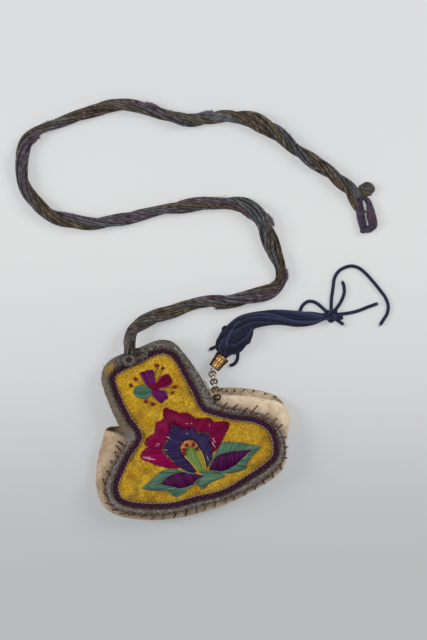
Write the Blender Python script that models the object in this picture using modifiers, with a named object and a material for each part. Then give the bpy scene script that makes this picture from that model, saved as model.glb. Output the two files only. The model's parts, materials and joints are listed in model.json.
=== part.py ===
# Tobacco pouch: a soft leather bag that lies on its back, with a mushroom-shaped embroidered felt
# panel sewn to its front, a carrying cord knotted round the panel's neck, and a small brass chain
# at the waist that ends in a fluted cap and a knotted navy tassel.
# Frame: metres, +Z up from the table, +Y along the panel's neck, +X to the right. The origin lies
# on the flat back of the bag, under the middle of the large flower.
import math

import bmesh
import bpy
import numpy as np
from mathutils import Matrix, Vector
from mathutils.geometry import delaunay_2d_cdt

# Clearances
CLEARANCE = 0.0003
PANEL_SEAT = 0.0005

# Leather bag: the width sets the scale of every outline and route below
BAG_WIDTH = 0.1176
BAG_HEIGHT = 0.0130
BAG_SIDE_HEIGHT = 0.0045
BAG_SIDE_DEPTH = 0.0040
BAG_FULLNESS = 2.6
LEATHER_THICKNESS = 0.0012
MOUTH_FRONT_HEIGHT = 0.0085
MOUTH_BACK_HEIGHT = 0.0008
MOUTH_SETBACK = 0.0045
MOUTH_FROM_DEG = 6.0
MOUTH_TO_DEG = 141.0
MOUTH_CORNER_DEG = 15.0

# Felt panel and its trims
FELT_THICKNESS = 0.0022
LINING_THICKNESS = 0.0007
LINING_GAP = 0.0005
PADDING_RISE = 0.0014
PADDING_REACH = 0.012
NECK_ROOT_HEIGHT = 0.0129
NECK_SLOPE = 0.13
NECK_BLEND_FROM = 0.008
NECK_BLEND_TO = 0.024
NECK_ROUNDING = 0.0014
BRAID_WIDTH = 0.0029
BRAID_HEIGHT = 0.0011
COUCHED_CORD = 0.0007
TRIM_GAP = 0.0004
BINDING_LIP = 0.0007
BINDING_WALL = 0.0009

# Embroidery
THREAD_THICKNESS = 0.0005
SATIN_CROWN = 0.0003

# Chain, cap and tassel
LINK_DIAMETER = 0.0044
LINK_WIRE = 0.0008
LINK_SLACK = 0.00018
LINK_COUNT = 7
CHAIN_HEADING_DEG = 79.0
ANCHOR_HEADING_DEG = 40.0
ANCHOR_REACH = 0.0023
ANCHOR_SPAN = 0.0058
ANCHOR_GRIP = 0.0014
CAP_LOOP_DIAMETER = 0.0032
CAP_LOOP_WIRE = 0.0006
CAP_HEADING_DEG = 29.6
CAP_LENGTH = 0.0085
CAP_BASE_RADIUS = 0.0034
CAP_MOUTH_RADIUS = 0.0042
CAP_WALL = 0.0005
CAP_BEAD = 0.0002
CAP_BASE_BEAD_AT = 0.0006
CAP_BASE_BEAD_END = 0.0014
CAP_MOUTH_BEAD_START = 0.0016
CAP_MOUTH_BEAD_AT = 0.0010
CAP_HOLE_RADIUS = 0.0008
CAP_FLUTES = 12
FLUTE_DEPTH = 0.03
TASSEL_CORD = 0.0020

# Carrying cord
CORD_DIAMETER = 0.0075
HITCH_DIAMETER = 0.0058
EYE_CORD = 0.0026
CHENILLE_CORD = 0.0040

# Points along each smooth outline
BAG_POINTS = 48
CURVE_STEPS = 12
BASE_POINTS_PER_SPAN = 3
NECK_POINTS_PER_SPAN = 2
FELT_SPACING = 0.0055
CORD_POINTS = 60

# Outline of the leather bag, in millimetres, anticlockwise from its right corner
BAG_OUTLINE = [
    (61.0, 3.0), (58.6, 11.7), (49.0, 19.9), (34.8, 27.2), (22.0, 31.2), (3.0, 32.6), (-18.0, 33.0),
    (-36.5, 33.1), (-43.3, 25.5), (-50.5, 16.0), (-56.0, 4.0), (-56.6, -6.5), (-51.9, -15.0),
    (-40.0, -22.8), (-25.0, -28.8), (-7.2, -32.3), (10.0, -33.3), (28.0, -31.9), (42.0, -29.2),
    (49.0, -24.0), (53.8, -13.0), (59.6, -4.0),
]
OUTLINE_UNIT = BAG_WIDTH / (max(x for x, _ in BAG_OUTLINE) - min(x for x, _ in BAG_OUTLINE))
BAG_CENTRE = (3.0 * OUTLINE_UNIT, -3.0 * OUTLINE_UNIT)
ANCHOR_NEAR = (24.9 * OUTLINE_UNIT, 22.3 * OUTLINE_UNIT)

# Outer edge of the panel, in millimetres, from the left waist round the base to the right waist
PANEL_BASE = [
    (-30.4, 22.8), (-38.0, 17.6), (-47.3, 10.7), (-53.2, 1.6), (-52.8, -8.4), (-46.6, -15.8),
    (-36.0, -22.0), (-22.1, -26.5), (-6.0, -29.3), (10.6, -31.0), (28.0, -30.8), (41.5, -28.6),
    (50.0, -21.4), (53.6, -11.5), (51.4, -0.8), (44.4, 6.8), (34.6, 15.2), (27.2, 20.4),
]
# The same edge from the right waist over the neck, back to the left waist
PANEL_NECK = [
    (24.4, 24.4), (23.6, 33.0), (21.8, 45.0), (18.4, 57.6), (14.6, 64.4), (7.0, 67.7), (-6.0, 67.5),
    (-18.0, 67.9), (-26.4, 64.6), (-30.3, 57.0), (-31.0, 45.0), (-30.6, 32.0),
]
# Middle of the purple braid, in millimetres, each point opposite one of the panel's edge
BRAID_BASE = [
    (-24.1, 20.4), (-32.9, 14.0), (-41.9, 6.0), (-46.2, 0.2), (-46.3, -6.6), (-42.2, -11.2),
    (-33.0, -17.0), (-20.2, -21.9), (-5.2, -24.3), (10.2, -26.4), (26.6, -25.1), (39.0, -22.8),
    (45.3, -18.0), (48.7, -10.6), (46.6, -3.2), (40.6, 3.4), (31.2, 9.9), (22.4, 16.6),
]
BRAID_NECK = [
    (17.8, 21.4), (16.0, 32.0), (15.2, 44.4), (13.6, 54.6), (11.2, 59.8), (5.6, 61.6), (-5.0, 61.3),
    (-17.0, 60.1), (-22.4, 58.8), (-24.5, 55.0), (-24.8, 44.0), (-24.4, 32.0),
]

# Embroidered fields, in millimetres: each is the stretch between an inner and an outer side
LOTUS_OUTER = [
    ([(-8.9, -3.4), (-11.8, 2.0), (-14.1, 8.6)],
     [(-9.6, -3.8), (-15.3, -1.1), (-25.3, 7.4), (-25.8, 10.7), (-21.2, 13.2)]),
    ([(-13.9, 9.2), (-11.8, 11.5), (-8.8, 13.3)],
     [(-21.0, 13.9), (-21.0, 16.8), (-18.2, 18.6), (-13.9, 18.9)]),
    ([(-8.5, 13.8), (-7.2, 15.6), (-5.8, 17.7)],
     [(-13.5, 19.6), (-12.2, 22.6), (-10.2, 24.0), (-6.2, 24.3)]),
    ([(-5.5, 18.1), (-3.6, 19.6), (-1.4, 20.3)],
     [(-5.7, 25.0), (-4.6, 29.0), (-3.0, 30.2), (-0.2, 27.4)]),
    ([(-1.0, 20.1), (2.6, 15.4), (7.0, 14.4)],
     [(0.2, 27.2), (3.4, 24.5), (6.8, 22.8), (10.6, 18.3)]),
    ([(7.3, 14.3), (8.6, 10.9), (12.3, 9.3)],
     [(11.0, 17.6), (15.4, 16.4), (18.9, 14.4), (19.3, 12.3)]),
    ([(12.7, 9.2), (15.2, 7.0), (13.7, 3.0), (12.6, -3.4)],
     [(19.7, 11.9), (23.9, 10.6), (27.3, 8.3), (24.0, 4.3), (15.7, -2.4)]),
]
LOTUS_INNER = [
    ([(-0.5, -10.0), (-2.2, -4.2), (-3.7, 1.3), (-3.6, 6.0)],
     [(-3.7, -8.6), (-8.0, -4.0), (-10.7, 1.8), (-13.3, 8.8)]),
    ([(-3.4, 6.8), (-1.8, 8.4), (0.3, 8.9)],
     [(-13.0, 9.6), (-8.2, 13.0), (-5.3, 17.2), (-1.8, 19.7)]),
    ([(0.9, 8.9), (3.0, 8.3), (4.6, 7.3)],
     [(-1.2, 19.4), (2.4, 14.7), (6.7, 13.8)]),
    ([(5.0, 6.9), (6.0, 5.0), (6.4, 3.0)],
     [(7.1, 13.6), (8.4, 10.3), (12.2, 8.8)]),
    ([(6.5, 2.4), (6.7, -1.0), (7.1, -6.0), (6.6, -9.6)],
     [(12.4, 8.6), (14.6, 6.8), (13.3, 3.0), (12.1, -4.2), (9.2, -7.5)]),
]
STAMEN = {
    "stamen_arch": ([(-2.3, 3.4), (-0.9, 5.4), (1.5, 6.0), (4.0, 4.8), (5.2, 2.6)],
                    [(-3.2, 5.6), (-1.3, 8.0), (0.9, 8.5), (4.2, 7.0), (5.9, 3.4)]),
    "stamen_strip_left": ([(-3.0, 2.4), (-2.6, -1.0), (-1.3, -5.0), (0.2, -10.0)],
                          [(-1.8, 2.4), (-1.2, -1.0), (0.2, -5.2), (1.4, -9.8)]),
    "stamen_fan": ([(-1.4, 2.6), (-0.8, -1.0), (0.7, -5.3), (2.1, -10.2)],
                   [(3.2, 2.2), (3.4, -1.0), (3.7, -5.5), (3.6, -10.4)]),
    "stamen_strip_right": ([(3.7, 1.8), (4.0, -2.0), (4.3, -6.0), (4.2, -10.0)],
                           [(5.7, 1.4), (6.0, -2.0), (6.3, -6.0), (5.4, -10.2)]),
}
LOTUS_STEM = ([(3.2, -11.2), (0.5, -14.0), (-2.4, -16.6), (-2.0, -18.6), (-0.6, -20.9)],
              [(4.2, -11.4), (9.0, -14.6), (14.0, -17.8), (13.2, -20.0), (6.2, -19.9), (0.2, -21.1)])
LEAVES = {
    "left": ([(-1.3, -12.2), (-4.1, -10.2), (-8.6, -6.2), (-15.3, -2.6), (-21.0, -3.0),
              (-26.7, -5.0), (-32.3, -6.8)],
             [(-2.9, -14.9), (-7.0, -17.0), (-10.3, -17.6), (-15.5, -19.3), (-18.2, -17.1),
              (-20.3, -13.6), (-26.6, -10.8), (-32.3, -7.3)]),
    "right": ([(6.6, -11.2), (9.6, -8.8), (12.8, -5.6), (19.7, -0.6), (24.9, -2.6), (30.0, -5.0),
               (38.4, -10.9)],
              [(6.9, -12.2), (13.3, -16.6), (20.1, -18.7), (27.0, -19.2), (27.7, -17.3),
               (33.4, -13.4), (38.4, -11.4)]),
}
LEAF_HEARTS = {
    "left": ([(1.4, -13.4), (-1.5, -10.8), (-6.2, -7.9), (-13.6, -6.5), (-20.9, -8.5)],
             [(1.4, -13.9), (-2.2, -15.7), (-10.9, -15.9), (-14.9, -13.4), (-20.9, -9.0)]),
    "right": ([(7.2, -11.6), (12.0, -7.2), (19.9, -6.9), (32.7, -10.3)],
              [(7.2, -12.1), (13.3, -15.5), (21.5, -15.1), (26.9, -12.8), (32.7, -10.8)]),
}
BUD_PETALS = {
    "bud_petal_top": ([(-6.1, 44.8), (-7.9, 46.8), (-10.0, 53.6), (-9.0, 55.4)],
                      [(-4.9, 44.9), (-2.4, 47.2), (-1.0, 51.6), (-1.5, 54.2)]),
    "bud_petal_right": ([(-4.3, 44.2), (-1.6, 45.6), (1.0, 47.8), (4.2, 48.9), (6.0, 47.6)],
                        [(-4.5, 43.4), (-2.2, 42.4), (3.2, 40.9), (6.6, 42.0), (7.0, 43.5)]),
    "bud_petal_low": ([(-5.0, 41.9), (-0.9, 40.7), (1.0, 38.8), (0.5, 34.6)],
                      [(-5.8, 41.2), (-6.3, 38.4), (-5.3, 35.8), (-4.6, 34.2)]),
    "bud_petal_left": ([(-7.3, 43.4), (-8.8, 46.4), (-11.6, 48.2), (-14.6, 46.8)],
                       [(-7.6, 42.2), (-10.6, 40.6), (-13.6, 41.4), (-15.5, 44.4)]),
}

# Carrying cord from the neck knot to its far end, in millimetres
CORD_ROUTE = [
    (-5.9, 75.9), (-1.4, 79.0), (8.0, 80.6), (20.5, 79.5), (32.5, 78.9), (44.6, 75.8), (57.5, 71.9),
    (69.7, 69.6), (79.0, 69.0), (85.6, 71.5), (88.6, 78.5), (88.6, 88.0), (89.6, 97.5), (89.6, 107.0),
    (85.6, 116.0), (77.5, 123.2), (63.5, 128.8), (45.0, 134.0), (27.0, 136.9), (11.0, 139.6),
    (-3.5, 144.6), (-16.5, 152.4), (-24.5, 162.4), (-27.9, 173.4), (-27.2, 184.0), (-23.8, 193.4),
    (-17.2, 200.6), (-6.0, 203.6), (12.0, 203.0), (30.0, 201.6), (43.5, 197.4), (53.0, 191.4),
    (62.0, 182.9), (75.0, 175.4), (91.0, 171.0), (103.0, 164.9), (114.4, 152.4), (124.0, 135.2),
    (134.6, 118.6), (141.2, 106.6), (144.2, 98.3),
]
HITCH_ROUTE = [(-11.2, 58.4), (-10.8, 61.5), (-10.2, 65.0), (-9.3, 69.0), (-7.8, 72.4)]
EYE_ROUTE = [(148.4, 102.8), (151.2, 104.4), (154.0, 102.6), (154.6, 99.8), (152.4, 98.0), (149.9, 99.0)]
CHENILLE_ROUTE = [
    (144.9, 95.7), (142.5, 93.0), (142.2, 87.6), (141.0, 82.6), (141.0, 79.7), (143.7, 78.9),
    (146.6, 81.2), (147.8, 86.2), (148.0, 91.4), (147.2, 94.8),
]
EYE_LIFT = 0.0020

# Tassel, in millimetres from the middle of the cap's mouth: x, y, width and height of each section
TASSEL_HANK = [
    (-3.0, -1.7, 4.2, 4.2), (0.6, 0.4, 5.6, 5.6), (3.0, 3.2, 14.0, 8.0), (6.5, 5.6, 18.5, 9.4),
    (12.0, 8.4, 19.0, 9.6), (18.0, 11.4, 15.5, 8.6), (24.0, 12.4, 11.4, 7.4), (34.0, 9.8, 10.4, 6.6),
    (46.0, 4.0, 10.4, 6.2), (55.0, 0.8, 8.8, 5.6), (60.6, -1.0, 5.0, 4.4),
]
TASSEL_TIE = (65.5, -2.1, 4.6, 4.0, 2.8)
TASSEL_ENDS = {
    "tassel_end_long": [(67.6, 2.0), (69.6, 6.4), (73.0, 12.2), (75.8, 16.8), (79.4, 19.4),
                        (83.4, 20.1), (87.4, 19.4), (90.8, 16.7), (93.2, 12.4), (95.2, 6.8),
                        (97.0, 0.8), (98.3, -4.6), (98.0, -9.6), (95.7, -13.4), (92.5, -15.8),
                        (89.6, -17.8)],
    "tassel_end_curled": [(69.7, 0.0), (73.6, 2.6), (77.4, 6.5), (78.9, 10.2), (79.2, 13.2)],
    "tassel_end_straight": [(70.2, -3.2), (75.5, -4.7), (81.3, -5.6), (86.8, -5.7), (92.8, -6.0)],
    "tassel_end_arch": [(51.0, 7.6), (53.2, 9.4), (56.4, 10.3), (59.2, 9.2), (61.2, 7.0), (62.4, 4.8)],
    "tassel_end_short": [(68.0, -5.8), (70.4, -9.6)],
    "tassel_stub_left": [(-1.2, 6.6), (-5.6, 6.3)],
    "tassel_stub_low": [(8.6, -1.6), (7.2, -4.4), (5.2, -6.2), (3.2, -6.7), (1.6, -6.3)],
}

# Sizes worked out from the ones above
SLOT_HALF = FELT_THICKNESS / 2 + CLEARANCE
PANEL_DROP = FELT_THICKNESS / 2 + LINING_GAP + LINING_THICKNESS
COUCHED_OFFSET = BRAID_WIDTH / 2 + CLEARANCE + COUCHED_CORD / 2
BINDING_OFFSET = COUCHED_OFFSET + COUCHED_CORD / 2 + CLEARANCE
FELT_INSET = BINDING_WALL + CLEARANCE


def srgb(red, green, blue):
    """A colour picked in 0 to 255 steps, as linear values."""
    def linear(step):
        share = step / 255
        return share / 12.92 if share <= 0.04045 else ((share + 0.055) / 1.055) ** 2.4

    return linear(red), linear(green), linear(blue), 1.0


FINISHES = {
    "cream_leather": (srgb(195, 175, 150), 0.75, 0.0),
    "yellow_felt": (srgb(195, 155, 42), 0.95, 0.0),
    "lining_cloth": (srgb(150, 140, 125), 0.9, 0.0),
    "grey_binding": (srgb(105, 100, 95), 0.8, 0.0),
    "purple_braid": (srgb(70, 25, 60), 0.8, 0.0),
    "pale_cord": (srgb(190, 175, 160), 0.7, 0.0),
    "magenta_silk": (srgb(125, 0, 65), 0.4, 0.0),
    "indigo_silk": (srgb(50, 40, 90), 0.4, 0.0),
    "purple_silk": (srgb(75, 15, 80), 0.4, 0.0),
    "teal_silk": (srgb(75, 120, 110), 0.4, 0.0),
    "tan_silk": (srgb(185, 130, 55), 0.45, 0.0),
    "green_silk": (srgb(115, 130, 65), 0.45, 0.0),
    "brass": (srgb(150, 105, 55), 0.35, 1.0),
    "navy_cord": (srgb(35, 40, 70), 0.6, 0.0),
    "twisted_cord": (srgb(95, 85, 75), 0.75, 0.0),
    "chenille": (srgb(75, 60, 85), 0.9, 0.0),
}


# Outlines and curves

def spline(points, closed):
    """A dense Catmull-Rom curve through points, with CURVE_STEPS rows to a span."""
    points = np.asarray(points, float)
    if closed:
        padded = np.vstack([points[-1], points, points[0], points[1]])
    else:
        padded = np.vstack([2 * points[0] - points[1], points, 2 * points[-1] - points[-2]])
    t = (np.arange(CURVE_STEPS) / CURVE_STEPS)[:, None]
    rows = []
    for a, b, c, d in zip(padded, padded[1:], padded[2:], padded[3:]):
        rows.append(0.5 * (2 * b + (c - a) * t + (2 * a - 5 * b + 4 * c - d) * t ** 2
                           + (3 * b - a - 3 * c + d) * t ** 3))
    return np.vstack(rows + [padded[-2][None, :]])


def resample(curve, count):
    """count points spaced evenly by length along a curve, its last point left out."""
    run = np.concatenate([[0.0], np.cumsum(np.linalg.norm(np.diff(curve, axis=0), axis=1))])
    where = np.linspace(0.0, run[-1], count + 1)[:-1]
    return np.column_stack([np.interp(where, run, curve[:, k]) for k in range(curve.shape[1])])


def open_curve(points, count):
    """count points spaced evenly along a smooth open curve, both ends included."""
    curve = spline(points, closed=False)
    return np.vstack([resample(curve, count - 1), curve[-1]])


def closed_curve(points, count):
    """count points spaced evenly round a smooth closed outline."""
    return resample(spline(points, closed=True), count)


def waisted_curve(base, neck):
    """A closed outline whose points fall at fixed shares of each span, so that two outlines match."""
    curve = spline(base + neck, closed=True)
    turn = len(base) * CURVE_STEPS
    return np.vstack([curve[:turn:CURVE_STEPS // BASE_POINTS_PER_SPAN],
                      curve[turn:-1:CURVE_STEPS // NECK_POINTS_PER_SPAN]])


def inward(curve):
    """Unit normals that point into an anticlockwise outline."""
    along = np.roll(curve, -1, axis=0) - np.roll(curve, 1, axis=0)
    along /= np.linalg.norm(along, axis=1)[:, None]
    return np.column_stack([-along[:, 1], along[:, 0]])


def shifted(curve, distance):
    """The outline moved inwards by a distance, or outwards if it is negative."""
    return curve + inward(curve) * distance


def smooth_step(value, low, high):
    share = np.clip((value - low) / (high - low), 0.0, 1.0)
    return share * share * (3 - 2 * share)


BAG_CURVE = closed_curve(np.array(BAG_OUTLINE) * OUTLINE_UNIT, 16 * BAG_POINTS)
PANEL_CURVE = waisted_curve(PANEL_BASE, PANEL_NECK) * OUTLINE_UNIT
BRAID_CURVE = waisted_curve(BRAID_BASE, BRAID_NECK) * OUTLINE_UNIT
BINDING_INNER = shifted(BRAID_CURVE, -BINDING_OFFSET)
PADDED_CURVE = shifted(BRAID_CURVE, BINDING_OFFSET)
BINDING_ACROSS = PANEL_CURVE - BINDING_INNER
BINDING_WIDTH = np.linalg.norm(BINDING_ACROSS, axis=1)
FELT_CURVE = PANEL_CURVE - BINDING_ACROSS * (FELT_INSET / BINDING_WIDTH)[:, None]


# Heights

def polar(x, y):
    """Angle and distance of points from the middle of the bag."""
    dx = x - BAG_CENTRE[0]
    dy = y - BAG_CENTRE[1]
    return np.arctan2(dy, dx), np.hypot(dx, dy)


def bag_reach(angle):
    """Distance from the middle of the bag to its outline, in a direction."""
    at, reach = polar(BAG_CURVE[:, 0], BAG_CURVE[:, 1])
    order = np.argsort(at)
    return np.interp(angle, at[order], reach[order], period=2 * math.pi)


def mouth_share(angle):
    """0 where the side of the bag is closed, 1 along its open mouth."""
    degrees = np.degrees(angle) % 360
    rise = smooth_step(degrees, MOUTH_FROM_DEG, MOUTH_FROM_DEG + MOUTH_CORNER_DEG)
    fall = smooth_step(degrees, MOUTH_TO_DEG - MOUTH_CORNER_DEG, MOUTH_TO_DEG)
    return rise * (1 - fall)


def edge_height(angle):
    """Height of the front wall's edge: the widest line of a closed side, or the mouth's rim."""
    return BAG_SIDE_HEIGHT + (MOUTH_FRONT_HEIGHT - BAG_SIDE_HEIGHT) * mouth_share(angle)


def front_height(x, y):
    """Height of the front wall's outer face: a domed superellipse over the outline."""
    angle, distance = polar(x, y)
    edge = edge_height(angle)
    share = np.clip(distance / (bag_reach(angle) - MOUTH_SETBACK * mouth_share(angle)), 0.0, 1.0)
    dome = (1 - share ** BAG_FULLNESS) ** (1 / BAG_FULLNESS)
    return edge + (BAG_HEIGHT - edge) * dome


def panel_middle(x, y):
    """Height of the middle of the felt: over the bag, then out along the stiff neck."""
    angle, distance = polar(x, y)
    rim = bag_reach(angle) - MOUTH_SETBACK * mouth_share(angle)
    wall = front_height(x, y) - np.maximum(distance - rim, 0.0)
    neck = NECK_ROOT_HEIGHT - NECK_SLOPE * (y - NECK_BLEND_FROM)
    higher = (wall + neck + np.sqrt((wall - neck) ** 2 + NECK_ROUNDING ** 2)) / 2
    share = smooth_step(y, NECK_BLEND_FROM, NECK_BLEND_TO)
    return wall * (1 - share) + higher * share + PANEL_SEAT + PANEL_DROP


def padding(x, y):
    """How far the stuffing lifts the felt inside the trims."""
    points = np.column_stack([np.ravel(x), np.ravel(y)])
    gap = np.linalg.norm(points[:, None, :] - PADDED_CURVE[None, :, :], axis=2).min(axis=1)
    gap = np.where(inside(PADDED_CURVE, points), gap, 0.0)
    share = np.clip(gap / PADDING_REACH, 0.0, 1.0)
    return (PADDING_RISE * (1 - (1 - share) ** 2)).reshape(np.shape(x))


def felt_top(x, y):
    return panel_middle(x, y) + FELT_THICKNESS / 2 + padding(x, y)


def inside(outline, points):
    """Which points lie inside a closed outline, by counting the edges that a ray crosses."""
    start, end = outline, np.roll(outline, -1, axis=0)
    px, py = points[:, 0][:, None], points[:, 1][:, None]
    spans = (start[:, 1] > py) != (end[:, 1] > py)
    rise = np.where(end[:, 1] == start[:, 1], 1.0, end[:, 1] - start[:, 1])
    crossing = start[:, 0] + (py - start[:, 1]) * (end[:, 0] - start[:, 0]) / rise
    return np.sum(spans & (px < crossing), axis=1) % 2 == 1


# Meshes

def material(name):
    found = bpy.data.materials.get(name)
    if found:
        return found
    colour, roughness, metallic = FINISHES[name]
    made = bpy.data.materials.new(name)
    made.use_nodes = True
    made.diffuse_color = colour
    shader = made.node_tree.nodes["Principled BSDF"]
    shader.inputs["Base Color"].default_value = colour
    shader.inputs["Roughness"].default_value = roughness
    shader.inputs["Metallic"].default_value = metallic
    return made


def add_object(name, data, finish):
    """Links a new object with its material into the pouch's collection."""
    made = bpy.data.objects.new(name, data)
    data.materials.append(material(finish))
    bpy.data.collections["tobacco_pouch"].objects.link(made)
    return made


def add_mesh(name, vertices, faces, finish, merge=0.0):
    """A mesh object from points and faces, with its faces turned outwards."""
    mesh = bpy.data.meshes.new(name)
    mesh.from_pydata([tuple(v) for v in vertices], [], [tuple(int(k) for k in f) for f in faces])
    shape = bmesh.new()
    shape.from_mesh(mesh)
    if merge:
        bmesh.ops.remove_doubles(shape, verts=shape.verts, dist=merge)
    bmesh.ops.recalc_face_normals(shape, faces=shape.faces)
    shape.to_mesh(mesh)
    shape.free()
    mesh.shade_smooth()
    mesh.set_sharp_from_angle(angle=math.radians(50))
    return add_object(name, mesh, finish)


def grid_faces(rows, columns, wrap_rows=False, wrap_columns=False):
    """Quads over a grid of rows by columns, closed round either way if asked."""
    last_row = rows if wrap_rows else rows - 1
    last_column = columns if wrap_columns else columns - 1
    faces = []
    for i in range(last_row):
        for j in range(last_column):
            below, beside = (i + 1) % rows, (j + 1) % columns
            faces.append((i * columns + j, i * columns + beside,
                          below * columns + beside, below * columns + j))
    return faces


def ring_band(name, rings, finish):
    """A closed band: a section carried once round an outline."""
    count, sides, _ = rings.shape
    return add_mesh(name, rings.reshape(-1, 3), grid_faces(count, sides, True, True), finish)


def plate(name, outline, creases, bottom, top, finish):
    """A thin pad inside an outline, between two height functions, with points along its creases."""
    low = np.floor(outline.min(axis=0) / FELT_SPACING) * FELT_SPACING
    high = outline.max(axis=0)
    across = np.arange(low[0], high[0], FELT_SPACING)
    up = np.arange(low[1], high[1], FELT_SPACING)
    grid = np.array([(x, y) for x in across for y in up])
    grid = grid[inside(outline, grid)]
    fixed = np.vstack([outline] + creases)
    gap = np.linalg.norm(grid[:, None, :] - fixed[None, :, :], axis=2).min(axis=1)
    grid = grid[gap > FELT_SPACING * 0.55]
    points = np.vstack([fixed, grid])
    loop = list(range(len(outline)))
    flat, _, triangles, _, _, _ = delaunay_2d_cdt([Vector(p) for p in points], [], [loop], 1, 1e-7)
    flat = np.array([tuple(p) for p in flat])
    count = len(flat)
    upper = np.column_stack([flat, top(flat[:, 0], flat[:, 1])])
    lower = np.column_stack([flat, bottom(flat[:, 0], flat[:, 1])])
    faces = [tuple(t) for t in triangles] + [tuple(count + k for k in reversed(t)) for t in triangles]
    edge = len(outline)
    for i in range(edge):
        j = (i + 1) % edge
        faces.append((j, i, count + i, count + j))
    return add_mesh(name, np.vstack([upper, lower]), faces, finish)


def tube(name, route, radius, finish, closed=False):
    """A round cord or wire along a list of points."""
    curve = bpy.data.curves.new(name, "CURVE")
    curve.dimensions = "3D"
    curve.bevel_depth = radius
    curve.bevel_resolution = 2
    curve.use_fill_caps = not closed
    line = curve.splines.new("POLY")
    line.points.add(len(route) - 1)
    for point, place in zip(line.points, route):
        point.co = (*place, 1.0)
    line.use_cyclic_u = closed
    return add_object(name, curve, finish)


# Leather bag

def make_bag():
    """The bag's outer face as rings from the back's middle to the front's, thickened inwards.

    Where the side is closed the last back ring and the first front ring meet. Along the mouth they
    part, and the gap between them is the opening.
    """
    outline = resample(np.vstack([BAG_CURVE, BAG_CURVE[:1]]), BAG_POINTS)
    angle, reach = polar(outline[:, 0], outline[:, 1])
    share = mouth_share(angle)
    ray = np.column_stack([np.cos(angle), np.sin(angle)])
    middle = np.array(BAG_CENTRE)
    back_rim = BAG_SIDE_HEIGHT * (1 - share) + MOUTH_BACK_HEIGHT * share
    rings = []
    for part in (0.5, 1.0):
        flat = middle + ray * ((reach - BAG_SIDE_DEPTH) * part)[:, None]
        rings.append(np.column_stack([flat, np.zeros(BAG_POINTS)]))
    for turn in (math.pi / 4, math.pi / 2):
        flat = middle + ray * (reach - BAG_SIDE_DEPTH * (1 - math.sin(turn)))[:, None]
        rings.append(np.column_stack([flat, back_rim * (1 - math.cos(turn))]))
    front_reach = reach - MOUTH_SETBACK * share
    rings.append(np.column_stack([middle + ray * front_reach[:, None], edge_height(angle)]))
    for part in (0.98, 0.94, 0.86, 0.72, 0.45):
        flat = middle + ray * (front_reach * part)[:, None]
        rings.append(np.column_stack([flat, front_height(flat[:, 0], flat[:, 1])]))
    back_pole = [(*BAG_CENTRE, 0.0)]
    front_pole = [(*BAG_CENTRE, BAG_HEIGHT)]
    points = np.vstack(rings + [back_pole, front_pole])
    back_rings = 4
    faces = grid_faces(back_rings, BAG_POINTS, wrap_columns=True)
    shift = back_rings * BAG_POINTS
    front_rings = len(rings) - back_rings
    faces += [tuple(shift + k for k in f) for f in grid_faces(front_rings, BAG_POINTS, wrap_columns=True)]
    last_ring = (len(rings) - 1) * BAG_POINTS
    for i in range(BAG_POINTS):
        j = (i + 1) % BAG_POINTS
        faces.append((i, j, len(rings) * BAG_POINTS))
        faces.append((last_ring + i, last_ring + j, len(rings) * BAG_POINTS + 1))
    bag = add_mesh("leather_bag", points, faces, "cream_leather", merge=1e-5)
    turn_outwards(bag.data)
    wall = bag.modifiers.new("wall", "SOLIDIFY")
    wall.thickness = LEATHER_THICKNESS
    wall.offset = -1.0
    wall.use_even_offset = True


def turn_outwards(mesh):
    """Flips an open shell whose lowest faces look up."""
    lowest = min(mesh.polygons, key=lambda face: face.center.z)
    if lowest.normal.z > 0:
        mesh.flip_normals()


# Felt panel, lining and trims

def make_panel():
    half = FELT_THICKNESS / 2
    plate("felt_panel", FELT_CURVE, [BINDING_INNER, BRAID_CURVE, PADDED_CURVE],
          lambda x, y: panel_middle(x, y) - half, felt_top, "yellow_felt")
    lining_top = half + LINING_GAP
    plate("panel_lining", shifted(BINDING_INNER, CLEARANCE), [BRAID_CURVE, PADDED_CURVE],
          lambda x, y: panel_middle(x, y) - lining_top - LINING_THICKNESS,
          lambda x, y: panel_middle(x, y) - lining_top, "lining_cloth")


def make_binding():
    """A strip folded round the felt's edge: a rounded section with a slot for the felt."""
    lip = SLOT_HALF + BINDING_LIP
    slot = 1 - BINDING_WALL / BINDING_WIDTH
    one = np.ones(len(slot))
    section = [
        (0 * one, SLOT_HALF + BINDING_LIP * 0.5), (0.4 * one, lip), (0.8 * one, lip * 0.85),
        (one, 0.0), (0.8 * one, -lip * 0.85), (0.4 * one, -lip),
        (0 * one, -SLOT_HALF - BINDING_LIP * 0.5), (0 * one, -SLOT_HALF), (slot, -SLOT_HALF),
        (slot, SLOT_HALF), (0 * one, SLOT_HALF),
    ]
    rings = []
    for share, rise in section:
        flat = BINDING_INNER + BINDING_ACROSS * share[:, None]
        rings.append(np.column_stack([flat, panel_middle(flat[:, 0], flat[:, 1]) + rise]))
    ring_band("panel_binding", np.stack(rings, axis=1), "grey_binding")


def trim_band(name, centre, width, height, finish):
    """A half-round trim that lies on the felt along an outline."""
    rings = []
    for share, rise in ((-1, 0.0), (-0.7, 0.8), (0.0, 1.0), (0.7, 0.8), (1, 0.0)):
        flat = shifted(centre, share * width / 2)
        top = felt_top(flat[:, 0], flat[:, 1]) + TRIM_GAP + rise * height
        rings.append(np.column_stack([flat, top]))
    ring_band(name, np.stack(rings, axis=1), finish)


def make_trims():
    trim_band("purple_braid", BRAID_CURVE, BRAID_WIDTH, BRAID_HEIGHT, "purple_braid")
    trim_band("inner_couched_cord", shifted(BRAID_CURVE, COUCHED_OFFSET),
              COUCHED_CORD, COUCHED_CORD, "pale_cord")
    trim_band("outer_couched_cord", shifted(BRAID_CURVE, -COUCHED_OFFSET),
              COUCHED_CORD, COUCHED_CORD, "pale_cord")


# Embroidery

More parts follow.
